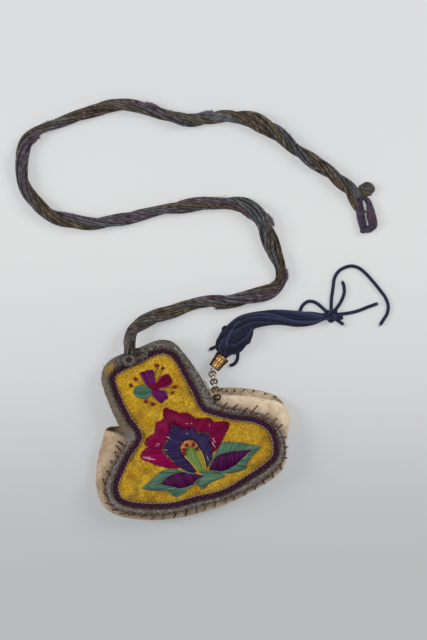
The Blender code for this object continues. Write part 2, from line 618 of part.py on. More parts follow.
def satin_field(name, sides, finish, layer=0, rows=7, columns=3):
    """A patch of satin stitch between two sides: thin, following the felt, a little crowned."""
    inner = open_curve(np.array(sides[0]) * OUTLINE_UNIT, rows)
    outer = open_curve(np.array(sides[1]) * OUTLINE_UNIT, rows)
    share = np.linspace(0.0, 1.0, columns)
    flat = inner[:, None, :] + (outer - inner)[:, None, :] * share[None, :, None]
    flat = flat.reshape(-1, 2)
    base = felt_top(flat[:, 0], flat[:, 1]) + CLEARANCE + layer * (THREAD_THICKNESS + SATIN_CROWN + CLEARANCE)
    crown = np.tile(SATIN_CROWN * np.sin(math.pi * share), rows)
    lower = np.column_stack([flat, base])
    upper = np.column_stack([flat, base + THREAD_THICKNESS + crown])
    count = rows * columns
    faces = grid_faces(rows, columns)
    faces += [tuple(count + k for k in reversed(f)) for f in grid_faces(rows, columns)]
    rim = [(0, j) for j in range(columns)]
    rim += [(i, columns - 1) for i in range(1, rows)]
    rim += [(rows - 1, j) for j in range(columns - 2, -1, -1)]
    rim += [(i, 0) for i in range(rows - 2, 0, -1)]
    order = [i * columns + j for i, j in rim]
    for a, b in zip(order, order[1:] + order[:1]):
        faces.append((a, b, count + b, count + a))
    add_mesh(name, np.vstack([upper, lower]), faces, finish)


def make_embroidery():
    for number, sides in enumerate(LOTUS_OUTER, 1):
        satin_field(f"lotus_outer_petal_{number}", sides, "magenta_silk")
    for number, sides in enumerate(LOTUS_INNER, 1):
        satin_field(f"lotus_inner_petal_{number}", sides, "indigo_silk")
    for name, sides in STAMEN.items():
        satin_field(name, sides, "green_silk" if name == "stamen_fan" else "tan_silk")
    satin_field("lotus_stem", LOTUS_STEM, "teal_silk")
    for side, sides in LEAVES.items():
        satin_field(f"leaf_{side}", sides, "teal_silk", rows=10, columns=4)
    for side, sides in LEAF_HEARTS.items():
        satin_field(f"leaf_heart_{side}", sides, "purple_silk", layer=1)
    silks = {"bud_petal_right": "magenta_silk", "bud_petal_left": "teal_silk"}
    for name, sides in BUD_PETALS.items():
        satin_field(name, sides, silks.get(name, "purple_silk"))


# Chain

def chain_frame():
    """The anchor's tip, the first pivot, and the chain's direction, side, normal and pitch."""
    gap = np.linalg.norm(PANEL_CURVE - np.array(ANCHOR_NEAR), axis=1)
    edge = PANEL_CURVE[np.argmin(gap)]
    out = math.radians(ANCHOR_HEADING_DEG)
    tip = edge + np.array([math.cos(out), math.sin(out)]) * ANCHOR_REACH
    tip = np.array([*tip, float(panel_middle(edge[0], edge[1]))])
    step = LINK_DIAMETER - 2 * LINK_WIRE - LINK_SLACK
    length = (LINK_COUNT - 1) * step + LINK_DIAMETER - LINK_WIRE
    hook = LINK_WIRE + LINK_SLACK
    slope = math.asin((tip[2] - cap_axis_height()) / (length - hook))
    heading = math.radians(CHAIN_HEADING_DEG)
    flat = np.array([math.cos(heading), math.sin(heading), 0.0])
    along = flat * math.cos(slope) - np.array([0.0, 0.0, math.sin(slope)])
    side = np.array([flat[1], -flat[0], 0.0])
    normal = np.cross(side, along)
    return tip, tip - along * hook, along, side, normal, step, length, flat


def cap_axis_height():
    """Height at which the cap's widest bead just rests on the table."""
    return (CAP_MOUTH_RADIUS + CAP_BEAD) * (1 + FLUTE_DEPTH)


def ring(name, pivot, along, across, diameter, wire):
    """A round link whose near side lies on its pivot, in the plane of along and across."""
    mean = (diameter - wire) / 2
    bpy.ops.mesh.primitive_torus_add(major_segments=14, minor_segments=5,
                                     major_radius=mean, minor_radius=wire / 2)
    made = bpy.context.object
    made.data.transform(Matrix.Translation((mean, 0.0, 0.0)))
    made.data.shade_smooth()
    out = np.cross(along, across)
    made.matrix_world = Matrix([[along[k], across[k], out[k], pivot[k]] for k in range(3)] + [[0, 0, 0, 1]])
    made.name = name
    made.data.name = name
    made.data.materials.append(material("brass"))
    for owner in made.users_collection:
        owner.objects.unlink(made)
    bpy.data.collections["tobacco_pouch"].objects.link(made)
    return made


def make_anchor(tip):
    """A wire hook that grips the binding's edge, with the first link round its tip."""
    half = ANCHOR_SPAN / 2
    turn = math.radians(ANCHOR_HEADING_DEG)
    out = np.array([math.cos(turn), math.sin(turn), 0.0])
    up = np.array([0.0, 0.0, 1.0])
    shoulder = ANCHOR_REACH * 0.5
    route = [tip - out * (ANCHOR_REACH - CLEARANCE) - up * half * 0.6,
             tip - out * shoulder - up * half * 0.6, tip - up * half * 0.25, tip + up * half * 0.35,
             tip - out * shoulder * 0.3 + up * half * 0.75, tip - out * shoulder + up * half,
             tip - out * (ANCHOR_REACH + ANCHOR_GRIP) + up * half]
    tube("chain_anchor", route, LINK_WIRE / 2, "brass")


def make_chain():
    """Links that lie flat and stand on edge by turns, from the waist down to the cap's loop."""
    tip, start, along, side, normal, step, length, flat = chain_frame()
    make_anchor(tip)
    for number in range(LINK_COUNT):
        pivot = start + along * step * number
        across = -side if number % 2 == 0 else normal
        ring(f"chain_link_{number + 1}", pivot, along, across, LINK_DIAMETER, LINK_WIRE)
    return start + along * length - flat * ((LINK_WIRE + CAP_LOOP_WIRE) / 2 + LINK_SLACK), flat


# Cap and tassel, which hang together from the last link

def turned(name, profile, place, heading, finish, sides, flutes):
    """A closed profile turned round a level axis, its radius waved by the flutes."""
    angles = np.arange(sides) * 2 * math.pi / sides
    wave = 1 + FLUTE_DEPTH * np.cos(flutes * angles)
    axis = np.array([math.cos(heading), math.sin(heading), 0.0])
    beside = np.array([-axis[1], axis[0], 0.0])
    rings = []
    for distance, radius, fluted in profile:
        reach = radius * (wave if fluted else np.ones(sides))
        rings.append(place + axis * distance + beside * (reach * np.cos(angles))[:, None]
                     + np.array([0, 0, 1.0]) * (reach * np.sin(angles))[:, None])
    return ring_band(name, np.stack(rings, axis=0), finish)


def make_cap(base, heading):
    inner_base = CAP_BASE_RADIUS - CAP_WALL
    profile = [
        (0.0, CAP_HOLE_RADIUS, False), (0.0, CAP_BASE_RADIUS * 0.86, False),
        (CAP_BASE_BEAD_AT, CAP_BASE_RADIUS + CAP_BEAD, True), (CAP_BASE_BEAD_END, CAP_BASE_RADIUS, True),
        (CAP_LENGTH - CAP_MOUTH_BEAD_START, CAP_MOUTH_RADIUS - CAP_BEAD, True),
        (CAP_LENGTH - CAP_MOUTH_BEAD_AT, CAP_MOUTH_RADIUS + CAP_BEAD, True),
        (CAP_LENGTH, CAP_MOUTH_RADIUS, True),
        (CAP_LENGTH, CAP_MOUTH_RADIUS - CAP_WALL, False), (CAP_WALL, inner_base, False),
        (CAP_WALL, CAP_HOLE_RADIUS, False),
    ]
    return turned("tassel_cap", profile, base, heading, "brass", 2 * CAP_FLUTES, CAP_FLUTES)


def loft(name, centres, widths, heights, finish, sides=10):
    """An oval section carried along a path, closed at both ends."""
    along = np.gradient(centres, axis=0)
    along[:, 2] = 0
    along /= np.linalg.norm(along, axis=1)[:, None]
    beside = np.column_stack([-along[:, 1], along[:, 0], np.zeros(len(along))])
    angles = np.arange(sides) * 2 * math.pi / sides
    rings = (centres[:, None, :] + beside[:, None, :] * (widths[:, None] / 2 * np.cos(angles))[:, :, None]
             + np.array([0, 0, 1.0]) * (heights[:, None] / 2 * np.sin(angles))[:, :, None])
    count = len(centres)
    faces = grid_faces(count, sides, wrap_columns=True)
    faces.append(tuple(reversed(range(sides))))
    faces.append(tuple((count - 1) * sides + k for k in range(sides)))
    return add_mesh(name, rings.reshape(-1, 3), faces, finish)


def make_tassel(mouth):
    """The knotted head and bundle as one hank, its tie, and the loose ends on the table."""
    rows = np.array(TASSEL_HANK) * OUTLINE_UNIT
    path = open_curve(rows, 16)
    level = path[:, 3] / 2
    level = np.maximum(level, cap_axis_height() * (1 - smooth_step(path[:, 0], 0.0, 0.007)))
    centres = np.column_stack([mouth[:2] + path[:, :2], level])
    pieces = [loft("tassel_hank", centres, path[:, 2], path[:, 3], "navy_cord")]
    x, y, reach, breadth, rise = np.array(TASSEL_TIE) * OUTLINE_UNIT
    bpy.ops.mesh.primitive_uv_sphere_add(segments=12, ring_count=8)
    tie = bpy.context.object
    tie.name = "tassel_tie"
    tie.data.name = "tassel_tie"
    tie.data.transform(Matrix.Diagonal((reach, breadth, rise, 1.0)))
    tie.location = (mouth[0] + x, mouth[1] + y, rise)
    tie.data.shade_smooth()
    tie.data.materials.append(material("navy_cord"))
    for owner in tie.users_collection:
        owner.objects.unlink(tie)
    bpy.data.collections["tobacco_pouch"].objects.link(tie)
    pieces.append(tie)
    for name, points in TASSEL_ENDS.items():
        flat = mouth[:2] + np.array(points) * OUTLINE_UNIT
        length = np.linalg.norm(np.diff(flat, axis=0), axis=1).sum()
        flat = open_curve(flat, max(3, round(length / (1.8 * TASSEL_CORD))))
        level = np.full(len(flat), TASSEL_CORD / 2)
        pieces.append(tube(name, np.column_stack([flat, level]), TASSEL_CORD / 2, "navy_cord"))
    return pieces


def make_cap_and_tassel(pivot, flat):
    """The cap, its loop and the tassel, carried by an empty on the last joint's axis."""
    mean = (CAP_LOOP_DIAMETER - CAP_LOOP_WIRE) / 2
    up = np.array([0.0, 0.0, 1.0])
    pieces = [ring("cap_loop", pivot, flat, up, CAP_LOOP_DIAMETER, CAP_LOOP_WIRE)]
    heading = math.radians(CAP_HEADING_DEG)
    axis = np.array([math.cos(heading), math.sin(heading), 0.0])
    base = pivot + flat * mean + axis * (CAP_LOOP_DIAMETER / 2 + CLEARANCE)
    pieces.append(make_cap(base, heading))
    pieces += make_tassel(base + axis * CAP_LENGTH)
    joint = bpy.data.objects.new("cap_pivot", None)
    joint.location = pivot
    bpy.data.collections["tobacco_pouch"].objects.link(joint)
    bpy.context.view_layer.update()
    for piece in pieces:
        piece.parent = joint
        piece.matrix_parent_inverse = joint.matrix_world.inverted()


# Carrying cord

def make_cord():
    """The cord along the table, the knot that ties it over the neck's edge, and its end loops."""
    radius = CORD_DIAMETER / 2
    route = open_curve(np.array(CORD_ROUTE) * OUTLINE_UNIT, CORD_POINTS)
    hitch = open_curve(np.array(HITCH_ROUTE) * OUTLINE_UNIT, 8)
    hitch_radius = HITCH_DIAMETER / 2
    over = felt_top(hitch[:, 0], hitch[:, 1]) + BRAID_HEIGHT + 2 * CLEARANCE + hitch_radius
    dip = smooth_step(hitch[:, 1], hitch[-3, 1], hitch[-1, 1] * 1.02)
    hitch_level = over + (CORD_DIAMETER - over) * dip
    tube("cord_hitch", np.column_stack([hitch, hitch_level]), hitch_radius, "twisted_cord")
    run = np.concatenate([[0.0], np.cumsum(np.linalg.norm(np.diff(route, axis=0), axis=1))])
    start = hitch_level[-1] - radius
    level = radius + start * (1 - smooth_step(run, 0.0, 4 * CORD_DIAMETER))
    tube("carrying_cord", np.column_stack([route, level]), radius, "twisted_cord")
    eye = closed_curve(np.array(EYE_ROUTE) * OUTLINE_UNIT, 14)
    tube("cord_eye", np.column_stack([eye, np.full(14, EYE_LIFT)]), EYE_CORD / 2, "twisted_cord", True)
    loop = closed_curve(np.array(CHENILLE_ROUTE) * OUTLINE_UNIT, 20)
    tube("chenille_loop", np.column_stack([loop, np.full(20, CHENILLE_CORD / 2)]),
         CHENILLE_CORD / 2, "chenille", True)


def main():
    for old in list(bpy.data.objects):
        bpy.data.objects.remove(old)
    group = bpy.data.collections.new("tobacco_pouch")
    bpy.context.scene.collection.children.link(group)
    make_bag()
    make_panel()
    make_binding()
    make_trims()
    make_embroidery()
    pivot, flat = make_chain()
    make_cap_and_tassel(pivot, flat)
    make_cord()


main()
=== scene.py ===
import json
import math

import bmesh
import bpy
import numpy as np
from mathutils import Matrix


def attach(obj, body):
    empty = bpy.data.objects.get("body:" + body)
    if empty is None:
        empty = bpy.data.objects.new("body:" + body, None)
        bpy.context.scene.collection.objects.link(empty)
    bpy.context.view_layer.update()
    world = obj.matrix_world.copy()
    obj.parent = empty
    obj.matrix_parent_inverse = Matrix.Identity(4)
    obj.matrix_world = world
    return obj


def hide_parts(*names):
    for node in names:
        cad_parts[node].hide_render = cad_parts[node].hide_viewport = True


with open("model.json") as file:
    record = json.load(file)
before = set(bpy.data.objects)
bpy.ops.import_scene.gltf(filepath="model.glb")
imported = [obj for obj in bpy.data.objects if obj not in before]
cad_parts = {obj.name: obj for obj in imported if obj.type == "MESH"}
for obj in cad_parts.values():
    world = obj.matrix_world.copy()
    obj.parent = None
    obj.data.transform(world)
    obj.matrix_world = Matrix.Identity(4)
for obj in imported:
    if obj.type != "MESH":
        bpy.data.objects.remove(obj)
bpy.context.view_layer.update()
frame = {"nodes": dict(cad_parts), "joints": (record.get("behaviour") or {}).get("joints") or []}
nodes = frame["nodes"]
mm = 0.001
print("frame:", len(nodes), "nodes")

scene = bpy.context.scene
scene.view_settings.view_transform = "Standard"
draw = np.random.default_rng(21)
lattice = np.random.default_rng(5).uniform(-1, 1, (24, 24, 24))


# Numbers and curves

def unit(vectors):
    return vectors / np.maximum(np.linalg.norm(vectors, axis=-1, keepdims=True), 1e-9)


def smoothStep(value, low, high):
    share = np.clip((value - low) / (high - low), 0, 1)
    return share * share * (3 - 2 * share)


def softNoise(points, size, shift=0.0):
    # A smooth random value from -1 to 1: eight corners of a random lattice, blended smoothly
    at = np.asarray(points, float) / size + shift
    cell = np.floor(at).astype(int)
    part = at - cell
    part = part * part * (3 - 2 * part)
    total = 0.0
    for corner in range(8):
        step = np.array([corner & 1, corner >> 1 & 1, corner >> 2])
        weight = np.prod(np.where(step, part, 1 - part), axis=-1)
        index = (cell + step) % len(lattice)
        total = total + weight * lattice[index[..., 0], index[..., 1], index[..., 2]]
    return total


def flatNoise(flat, size, shift=0.0):
    # The same noise on the table's plane
    return softNoise(np.column_stack([flat, np.zeros(len(flat))]), size, shift)


def noiseAlong(run, size, row=0.0, layer=0.0):
    # The same noise along a line, with another course for each row and layer
    return softNoise(np.column_stack([run / size, 0 * run + row, 0 * run + layer]), 1.0)


def spline(points, closed, steps=12):
    # Catmull-Rom: each span is a cubic that leaves its points along the line of their neighbours
    points = np.asarray(points, float)
    if closed:
        padded = np.vstack([points[-1], points, points[0], points[1]])
    else:
        padded = np.vstack([2 * points[0] - points[1], points, 2 * points[-1] - points[-2]])
    t = (np.arange(steps) / steps)[None, :, None]
    a, b, c, d = (padded[k:len(padded) - 3 + k][:, None, :] for k in range(4))
    rows = 0.5 * (2 * b + (c - a) * t + (2 * a - 5 * b + 4 * c - d) * t ** 2
                  + (3 * b - a - 3 * c + d) * t ** 3)
    return np.vstack([rows.reshape(-1, points.shape[1]), padded[-2][None, :]])


def runOf(curve):
    # Length along a curve up to each of its points
    return np.concatenate([[0.0], np.cumsum(np.linalg.norm(np.diff(curve, axis=0), axis=1))])


def looped(line):
    # A closed line with its first point again at its end
    return np.vstack([line, line[:1]])


def resample(curve, count):
    run = runOf(curve)
    where = np.linspace(0.0, run[-1], count + 1)[:-1]
    return np.column_stack([np.interp(where, run, curve[:, k]) for k in range(curve.shape[1])])


def openCurve(points, count):
    curve = spline(points, closed=False)
    return np.vstack([resample(curve, count - 1), curve[-1]])


def openCurves(lines, count):
    return np.array([openCurve(line, count) for line in lines])


def closedCurve(points, count):
    return resample(spline(points, closed=True), count)


def circle(count):
    # Angles once round
    return np.arange(count) * 2 * math.pi / count


def inward(curve):
    along = unit(np.roll(curve, -1, axis=0) - np.roll(curve, 1, axis=0))
    return np.column_stack([-along[:, 1], along[:, 0]])


def shifted(curve, distance):
    return curve + inward(curve) * distance


def fine(curve, steps=8):
    # The same closed outline with more points, still through every given one
    return spline(curve, closed=True, steps=steps)[:-1]


def insideOf(outline, points):
    # A point is inside if a ray from it crosses the outline an odd number of times
    start, end = outline, np.roll(outline, -1, axis=0)
    px, py = points[:, 0][:, None], points[:, 1][:, None]
    spans = (start[:, 1] > py) != (end[:, 1] > py)
    rise = np.where(end[:, 1] == start[:, 1], 1.0, end[:, 1] - start[:, 1])
    crossing = start[:, 0] + (py - start[:, 1]) * (end[:, 0] - start[:, 0]) / rise
    return np.sum(spans & (px < crossing), axis=1) % 2 == 1


def gapTo(outline, points):
    # Distance to the nearest point of an outline, positive inside it, and that point's number
    far = ((points[:, None, :] - outline[None, :, :]) ** 2).sum(axis=2)
    nearest = far.argmin(axis=1)
    gap = np.sqrt(far[np.arange(len(points)), nearest])
    return np.where(insideOf(outline, points), gap, -gap), nearest


# Outlines in millimetres: the solids' own, the panel's and the braid's moved by up to 2 mm
bagOutline = [
    (61.0, 3.0), (58.6, 11.7), (49.0, 19.9), (34.8, 27.2), (22.0, 31.2), (3.0, 32.6), (-18.0, 31.6),
    (-29.0, 30.6), (-37.6, 32.6), (-42.8, 26.8), (-50.5, 16.0), (-56.0, 4.0), (-56.6, -6.5),
    (-51.9, -15.0), (-40.0, -22.8), (-25.0, -28.8), (-7.2, -32.3), (10.0, -33.3), (28.0, -31.9),
    (42.0, -29.2), (49.0, -24.0), (53.8, -13.0), (59.6, -4.0),
]
panelBase = [
    (-29.8, 22.4), (-37.0, 16.2), (-46.0, 9.0), (-52.2, 1.4), (-52.1, -8.1), (-46.4, -15.3),
    (-35.6, -21.5), (-22.0, -26.2), (-5.9, -28.3), (10.6, -30.5), (27.8, -30.2), (41.1, -27.0),
    (49.6, -21.0), (53.2, -11.5), (51.4, -0.8), (45.3, 7.7), (34.6, 15.0), (27.0, 20.2),
]
panelNeck = [
    (24.4, 24.4), (23.6, 33.0), (21.8, 45.0), (18.4, 57.6), (14.6, 64.4), (7.0, 67.7), (-6.0, 67.5),
    (-18.0, 67.9), (-26.4, 64.6), (-30.3, 57.0), (-31.0, 45.0), (-30.6, 32.0),
]
braidBase = [
    (-21.8, 21.4), (-32.4, 13.4), (-41.2, 5.3), (-45.5, 0.0), (-46.2, -6.6), (-42.3, -11.3),
    (-32.9, -16.7), (-20.1, -21.5), (-5.1, -23.7), (10.2, -26.0), (26.4, -23.7), (38.4, -21.2),
    (45.0, -17.7), (47.9, -10.5), (47.6, -2.6), (41.8, 4.8), (31.8, 10.7), (22.8, 17.1),
]
braidNeck = [
    (17.3, 22.8), (16.7, 32.1), (15.4, 44.4), (13.9, 54.7), (10.7, 59.3), (5.6, 61.5), (-5.0, 61.3),
    (-17.0, 60.4), (-22.5, 59.0), (-24.5, 55.0), (-24.8, 44.0), (-23.7, 32.0),
]
trims = {"braid": 2.5, "couched": 0.6, "gap": 0.4, "clearance": 0.15}
feltShape = {
    "thickness": 2.2, "inset": 1.2, "rise": 1.4, "reach": 12.0, "seat": 0.5, "lining": 0.7,
    "liningGap": 0.5,
}
couchedOffset = trims["braid"] / 2 + trims["clearance"] + trims["couched"] / 2
bindingOffset = couchedOffset + trims["couched"] / 2 + trims["clearance"]


def waisted(base, neck, steps=12):
    # Three points for each span of the base and two for the neck's, so that two outlines match
    curve = spline(base + neck, closed=True, steps=steps)
    turn = len(base) * steps
    return np.vstack([curve[:turn:steps // 3], curve[turn:-1:steps // 2]])


bagCurve = closedCurve(bagOutline, 768)
panelCurve = waisted(panelBase, panelNeck)
braidCurve = waisted(braidBase, braidNeck)
bindingInner = shifted(braidCurve, -bindingOffset)
paddedCurve = shifted(braidCurve, bindingOffset)
feltCurve = panelCurve - unit(panelCurve - bindingInner) * feltShape["inset"]
panelFine, braidFine, innerFine, paddedFine, feltFine = map(
    fine, (panelCurve, braidCurve, bindingInner, paddedCurve, feltCurve))

# Heights, the same as the solids'
bagShape = {
    "height": 13.0, "side": 4.5, "sideDepth": 4.0, "fullness": 2.6, "middle": (3.0, -3.0),
    "leather": 1.2, "mouthFront": 8.5, "mouthBack": 0.8, "setback": 4.5,
    "mouthFrom": 6.0, "mouthTo": 141.0, "corner": 15.0,  # degrees round the middle
}
neckShape = {"root": 12.9, "slope": 0.13, "from": 8.0, "to": 24.0, "rounding": 1.4}


def polar(x, y):
    dx, dy = x - bagShape["middle"][0], y - bagShape["middle"][1]
    return np.arctan2(dy, dx), np.hypot(dx, dy)


bagAngle, bagDistance = polar(bagCurve[:, 0], bagCurve[:, 1])
bagOrder = np.argsort(bagAngle)


def bagReach(angle):
    return np.interp(angle, bagAngle[bagOrder], bagDistance[bagOrder], period=2 * math.pi)


def mouthShare(angle):
    # 0 where the side is closed, 1 along the open mouth
    degrees = np.degrees(angle) % 360
    b = bagShape
    return (smoothStep(degrees, b["mouthFrom"], b["mouthFrom"] + b["corner"])
            * (1 - smoothStep(degrees, b["mouthTo"] - b["corner"], b["mouthTo"])))


def edgeHeight(angle):
    return bagShape["side"] + (bagShape["mouthFront"] - bagShape["side"]) * mouthShare(angle)


def frontRim(angle):
    return bagReach(angle) - bagShape["setback"] * mouthShare(angle)


def frontHeight(x, y):
    # A dome over the outline: edge + rise * (1 - share^n)^(1/n), share being the distance over
    # the rim's
    angle, distance = polar(x, y)
    edge = edgeHeight(angle)
    share = np.clip(distance / frontRim(angle), 0, 1)
    dome = (1 - share ** bagShape["fullness"]) ** (1 / bagShape["fullness"])
    return edge + (bagShape["height"] - edge) * dome


def panelMiddle(x, y):
    # The felt's middle: the front wall's dome below, the stiff neck's slope above, blended between
    angle, distance = polar(x, y)
    wall = frontHeight(x, y) - np.maximum(distance - frontRim(angle), 0)
    neck = neckShape["root"] - neckShape["slope"] * (y - neckShape["from"])
    higher = (wall + neck + np.sqrt((wall - neck) ** 2 + neckShape["rounding"] ** 2)) / 2
    share = smoothStep(y, neckShape["from"], neckShape["to"])
    f = feltShape
    drop = f["seat"] + f["thickness"] / 2 + f["liningGap"] + f["lining"]
    return wall * (1 - share) + higher * share + drop


def feltTop(x, y):
    # The felt's upper face, lifted inside the trims by rise * (1 - (1 - share)^2)
    f = feltShape
    x, y = np.asarray(x, float), np.asarray(y, float)
    gap, _ = gapTo(paddedFine, np.column_stack([x.ravel(), y.ravel()]))
    share = np.clip(gap / f["reach"], 0, 1).reshape(x.shape)
    return panelMiddle(x, y) + f["thickness"] / 2 + f["rise"] * (1 - (1 - share) ** 2)


# Meshes

def gridFaces(rows, columns, aroundRows, aroundColumns):
    # Quads over a grid, and for each corner its share of the columns and the number of its row
    i = np.arange(rows if aroundRows else rows - 1)[:, None]
    j = np.arange(columns if aroundColumns else columns - 1)[None, :]
    corners = [(i, j), (i + 1, j), (i + 1, j + 1), (i, j + 1)]
    faces = np.stack([(a % rows) * columns + b % columns for a, b in corners], axis=-1)
    shares = [np.stack(np.broadcast_arrays(b / columns, a), axis=-1) for a, b in corners]
    return faces.reshape(-1, 4), np.stack(shares, axis=2).reshape(-1, 4, 2)


def surface(grid, aroundRows=False, aroundColumns=False, flip=False, tint=None):
    # A grid of points as a surface
    rows, columns, _ = grid.shape
    faces, uv = gridFaces(rows, columns, aroundRows, aroundColumns)
    if flip:
        faces, uv = faces[:, ::-1], uv[:, ::-1]
    tint = np.full(rows * columns, 0.5) if tint is None else np.ravel(tint)
    return {"points": grid.reshape(-1, 3), "sets": [(faces, uv)], "tint": tint}


def capped(shape, ring, centre, flip=False):
    # Closes a ring of point numbers with a fan to a new point in its middle
    fan = np.column_stack([ring, np.roll(ring, -1), np.full(len(ring), len(shape["points"]))])
    if flip:
        fan = fan[:, ::-1]
    return {"points": np.vstack([shape["points"], centre]),
            "sets": shape["sets"] + [(fan, np.zeros((len(ring), 3, 2)))],
            "tint": np.append(shape["tint"], 0.5)}


def tubes(paths, radii, sides=6, flat=1.0, upright=(0.06, 0.04, 1.0), closed=False, tint=None):
    # Many round tubes at once: path + radius * (cos a * beside + flat * sin a * above)
    paths = np.asarray(paths, float)
    count, steps, _ = paths.shape
    radii = np.broadcast_to(np.asarray(radii, float), (count, steps))
    if closed:
        along = unit(np.roll(paths, -1, axis=1) - np.roll(paths, 1, axis=1))
    else:
        along = unit(np.gradient(paths, axis=1))
    upright = np.broadcast_to(np.asarray(upright, float), (count, 3))[:, None, :]
    beside = unit(np.cross(along, upright))
    above = np.cross(beside, along)
    angle = np.arange(sides) * 2 * math.pi / sides
    section = (beside[:, :, None] * np.cos(angle)[:, None]
               + above[:, :, None] * (flat * np.sin(angle))[:, None])
    points = paths[:, :, None] + section * radii[:, :, None, None]
    faces, uv = gridFaces(steps, sides, closed, True)
    run = np.concatenate([np.zeros((count, 1)), np.cumsum(np.linalg.norm(np.diff(
        paths, axis=1, append=paths[:, :1]), axis=2), axis=1)], axis=1)
    start = np.arange(count)[:, None, None] * steps * sides
    row = uv[..., 1].astype(int)
    uv = np.stack([np.broadcast_to(uv[..., 0], (count, *row.shape)), run[:, row]], axis=-1)
    sets = [((faces[None] + start).reshape(-1, 4), uv.reshape(-1, 4, 2))]
    if not closed:
        ring = np.arange(sides)
        ends = np.stack([ring, ((steps - 1) * sides + ring)[::-1]])
        sets.append(((ends[None] + start).reshape(-1, sides), np.zeros((2 * count, sides, 2))))
    tint = draw.uniform(0, 1, count) if tint is None else np.broadcast_to(tint, count)
    return {"points": points.reshape(-1, 3), "sets": sets, "tint": np.repeat(tint, steps * sides)}


def joined(*shapes):
    sets, start = [], 0
    for shape in shapes:
        sets += [(faces + start, uv) for faces, uv in shape["sets"]]
        start += len(shape["points"])
    return {"points": np.vstack([s["points"] for s in shapes]), "sets": sets,
            "tint": np.concatenate([s["tint"] for s in shapes])}


def addPiece(name, shape, paint, slot, replaces=(), body="pouch", merge=0.0, **more):
    # Makes a shape a mesh, in metres, and says which body it rides on and what it stands for
    mesh = bpy.data.meshes.new(name)
    faces = [corners for corners, _ in shape["sets"]]
    sizes = np.concatenate([np.full(len(rows), rows.shape[1]) for rows in faces])
    starts = np.concatenate([[0], np.cumsum(sizes[:-1])])
    corners = np.concatenate([rows.ravel() for rows in faces])
    mesh.vertices.add(len(shape["points"]))
    mesh.vertices.foreach_set("co", (shape["points"] * mm).astype(np.float32).ravel())
    mesh.loops.add(len(corners))
    mesh.loops.foreach_set("vertex_index", corners.astype(np.int32))
    mesh.polygons.add(len(sizes))
    mesh.polygons.foreach_set("loop_start", starts.astype(np.int32))
    mesh.update(calc_edges=True)
    threads = np.concatenate([uv.ravel() for _, uv in shape["sets"]]).astype(np.float32)
    mesh.uv_layers.new(name="thread").uv.foreach_set("vector", threads)
    for key, values in {"tint": shape["tint"], **more}.items():
        values = np.ravel(values).astype(np.float32)
        mesh.attributes.new(key, "FLOAT", "POINT").data.foreach_set("value", values)
    if merge:
        shell = bmesh.new()
        shell.from_mesh(mesh)
        bmesh.ops.remove_doubles(shell, verts=shell.verts, dist=merge * mm)
        shell.to_mesh(mesh)
        shell.free()
    mesh.shade_smooth()
    mesh.validate()
    mesh.materials.append(paints[paint])
    piece = bpy.data.objects.new(name, mesh)
    scene.collection.objects.link(piece)
    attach(piece, body)
    if replaces:
        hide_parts(replaces)
    return piece


def nameOf(node):
    # tassel_end_long becomes tasselEndLong
    first, *rest = node.split("_")
    return first + "".join(part.capitalize() for part in rest)


def dress(node, shape, paint, slot, **more):
    # A piece named after the one solid that it stands for
    return addPiece(nameOf(node), shape, paint, slot, node, **more)


def hairs(roots, outward, length, radius=0.05, lean=0.6, steps=4):
    # Fine fibres: root + outward * t * length, bent sideways by t squared, thinning to their tips
    count = len(roots)
    lengths = length * draw.uniform(0.4, 1.0, count)[:, None, None]
    t = np.linspace(0, 1, steps)[None, :, None]
    side = unit(draw.normal(size=(count, 1, 3)))
    paths = roots[:, None, :] + lengths * (outward[:, None, :] * t + side * lean * t ** 2)
    paths[..., 2] = np.maximum(paths[..., 2], radius)
    radii = radius * np.linspace(1.0, 0.3, steps)
    return tubes(paths, radii, sides=3, upright=unit(draw.normal(size=(count, 3))))


# Materials

def srgb(red, green, blue):
    steps = np.array([red, green, blue]) / 255
    linear = np.where(steps <= 0.04045, steps / 12.92, ((steps + 0.055) / 1.055) ** 2.4)
    return (*[float(c) for c in linear], 1.0)


def grey(level):
    return (level, level, level, 1.0)


black, white = grey(0.0), grey(1.0)


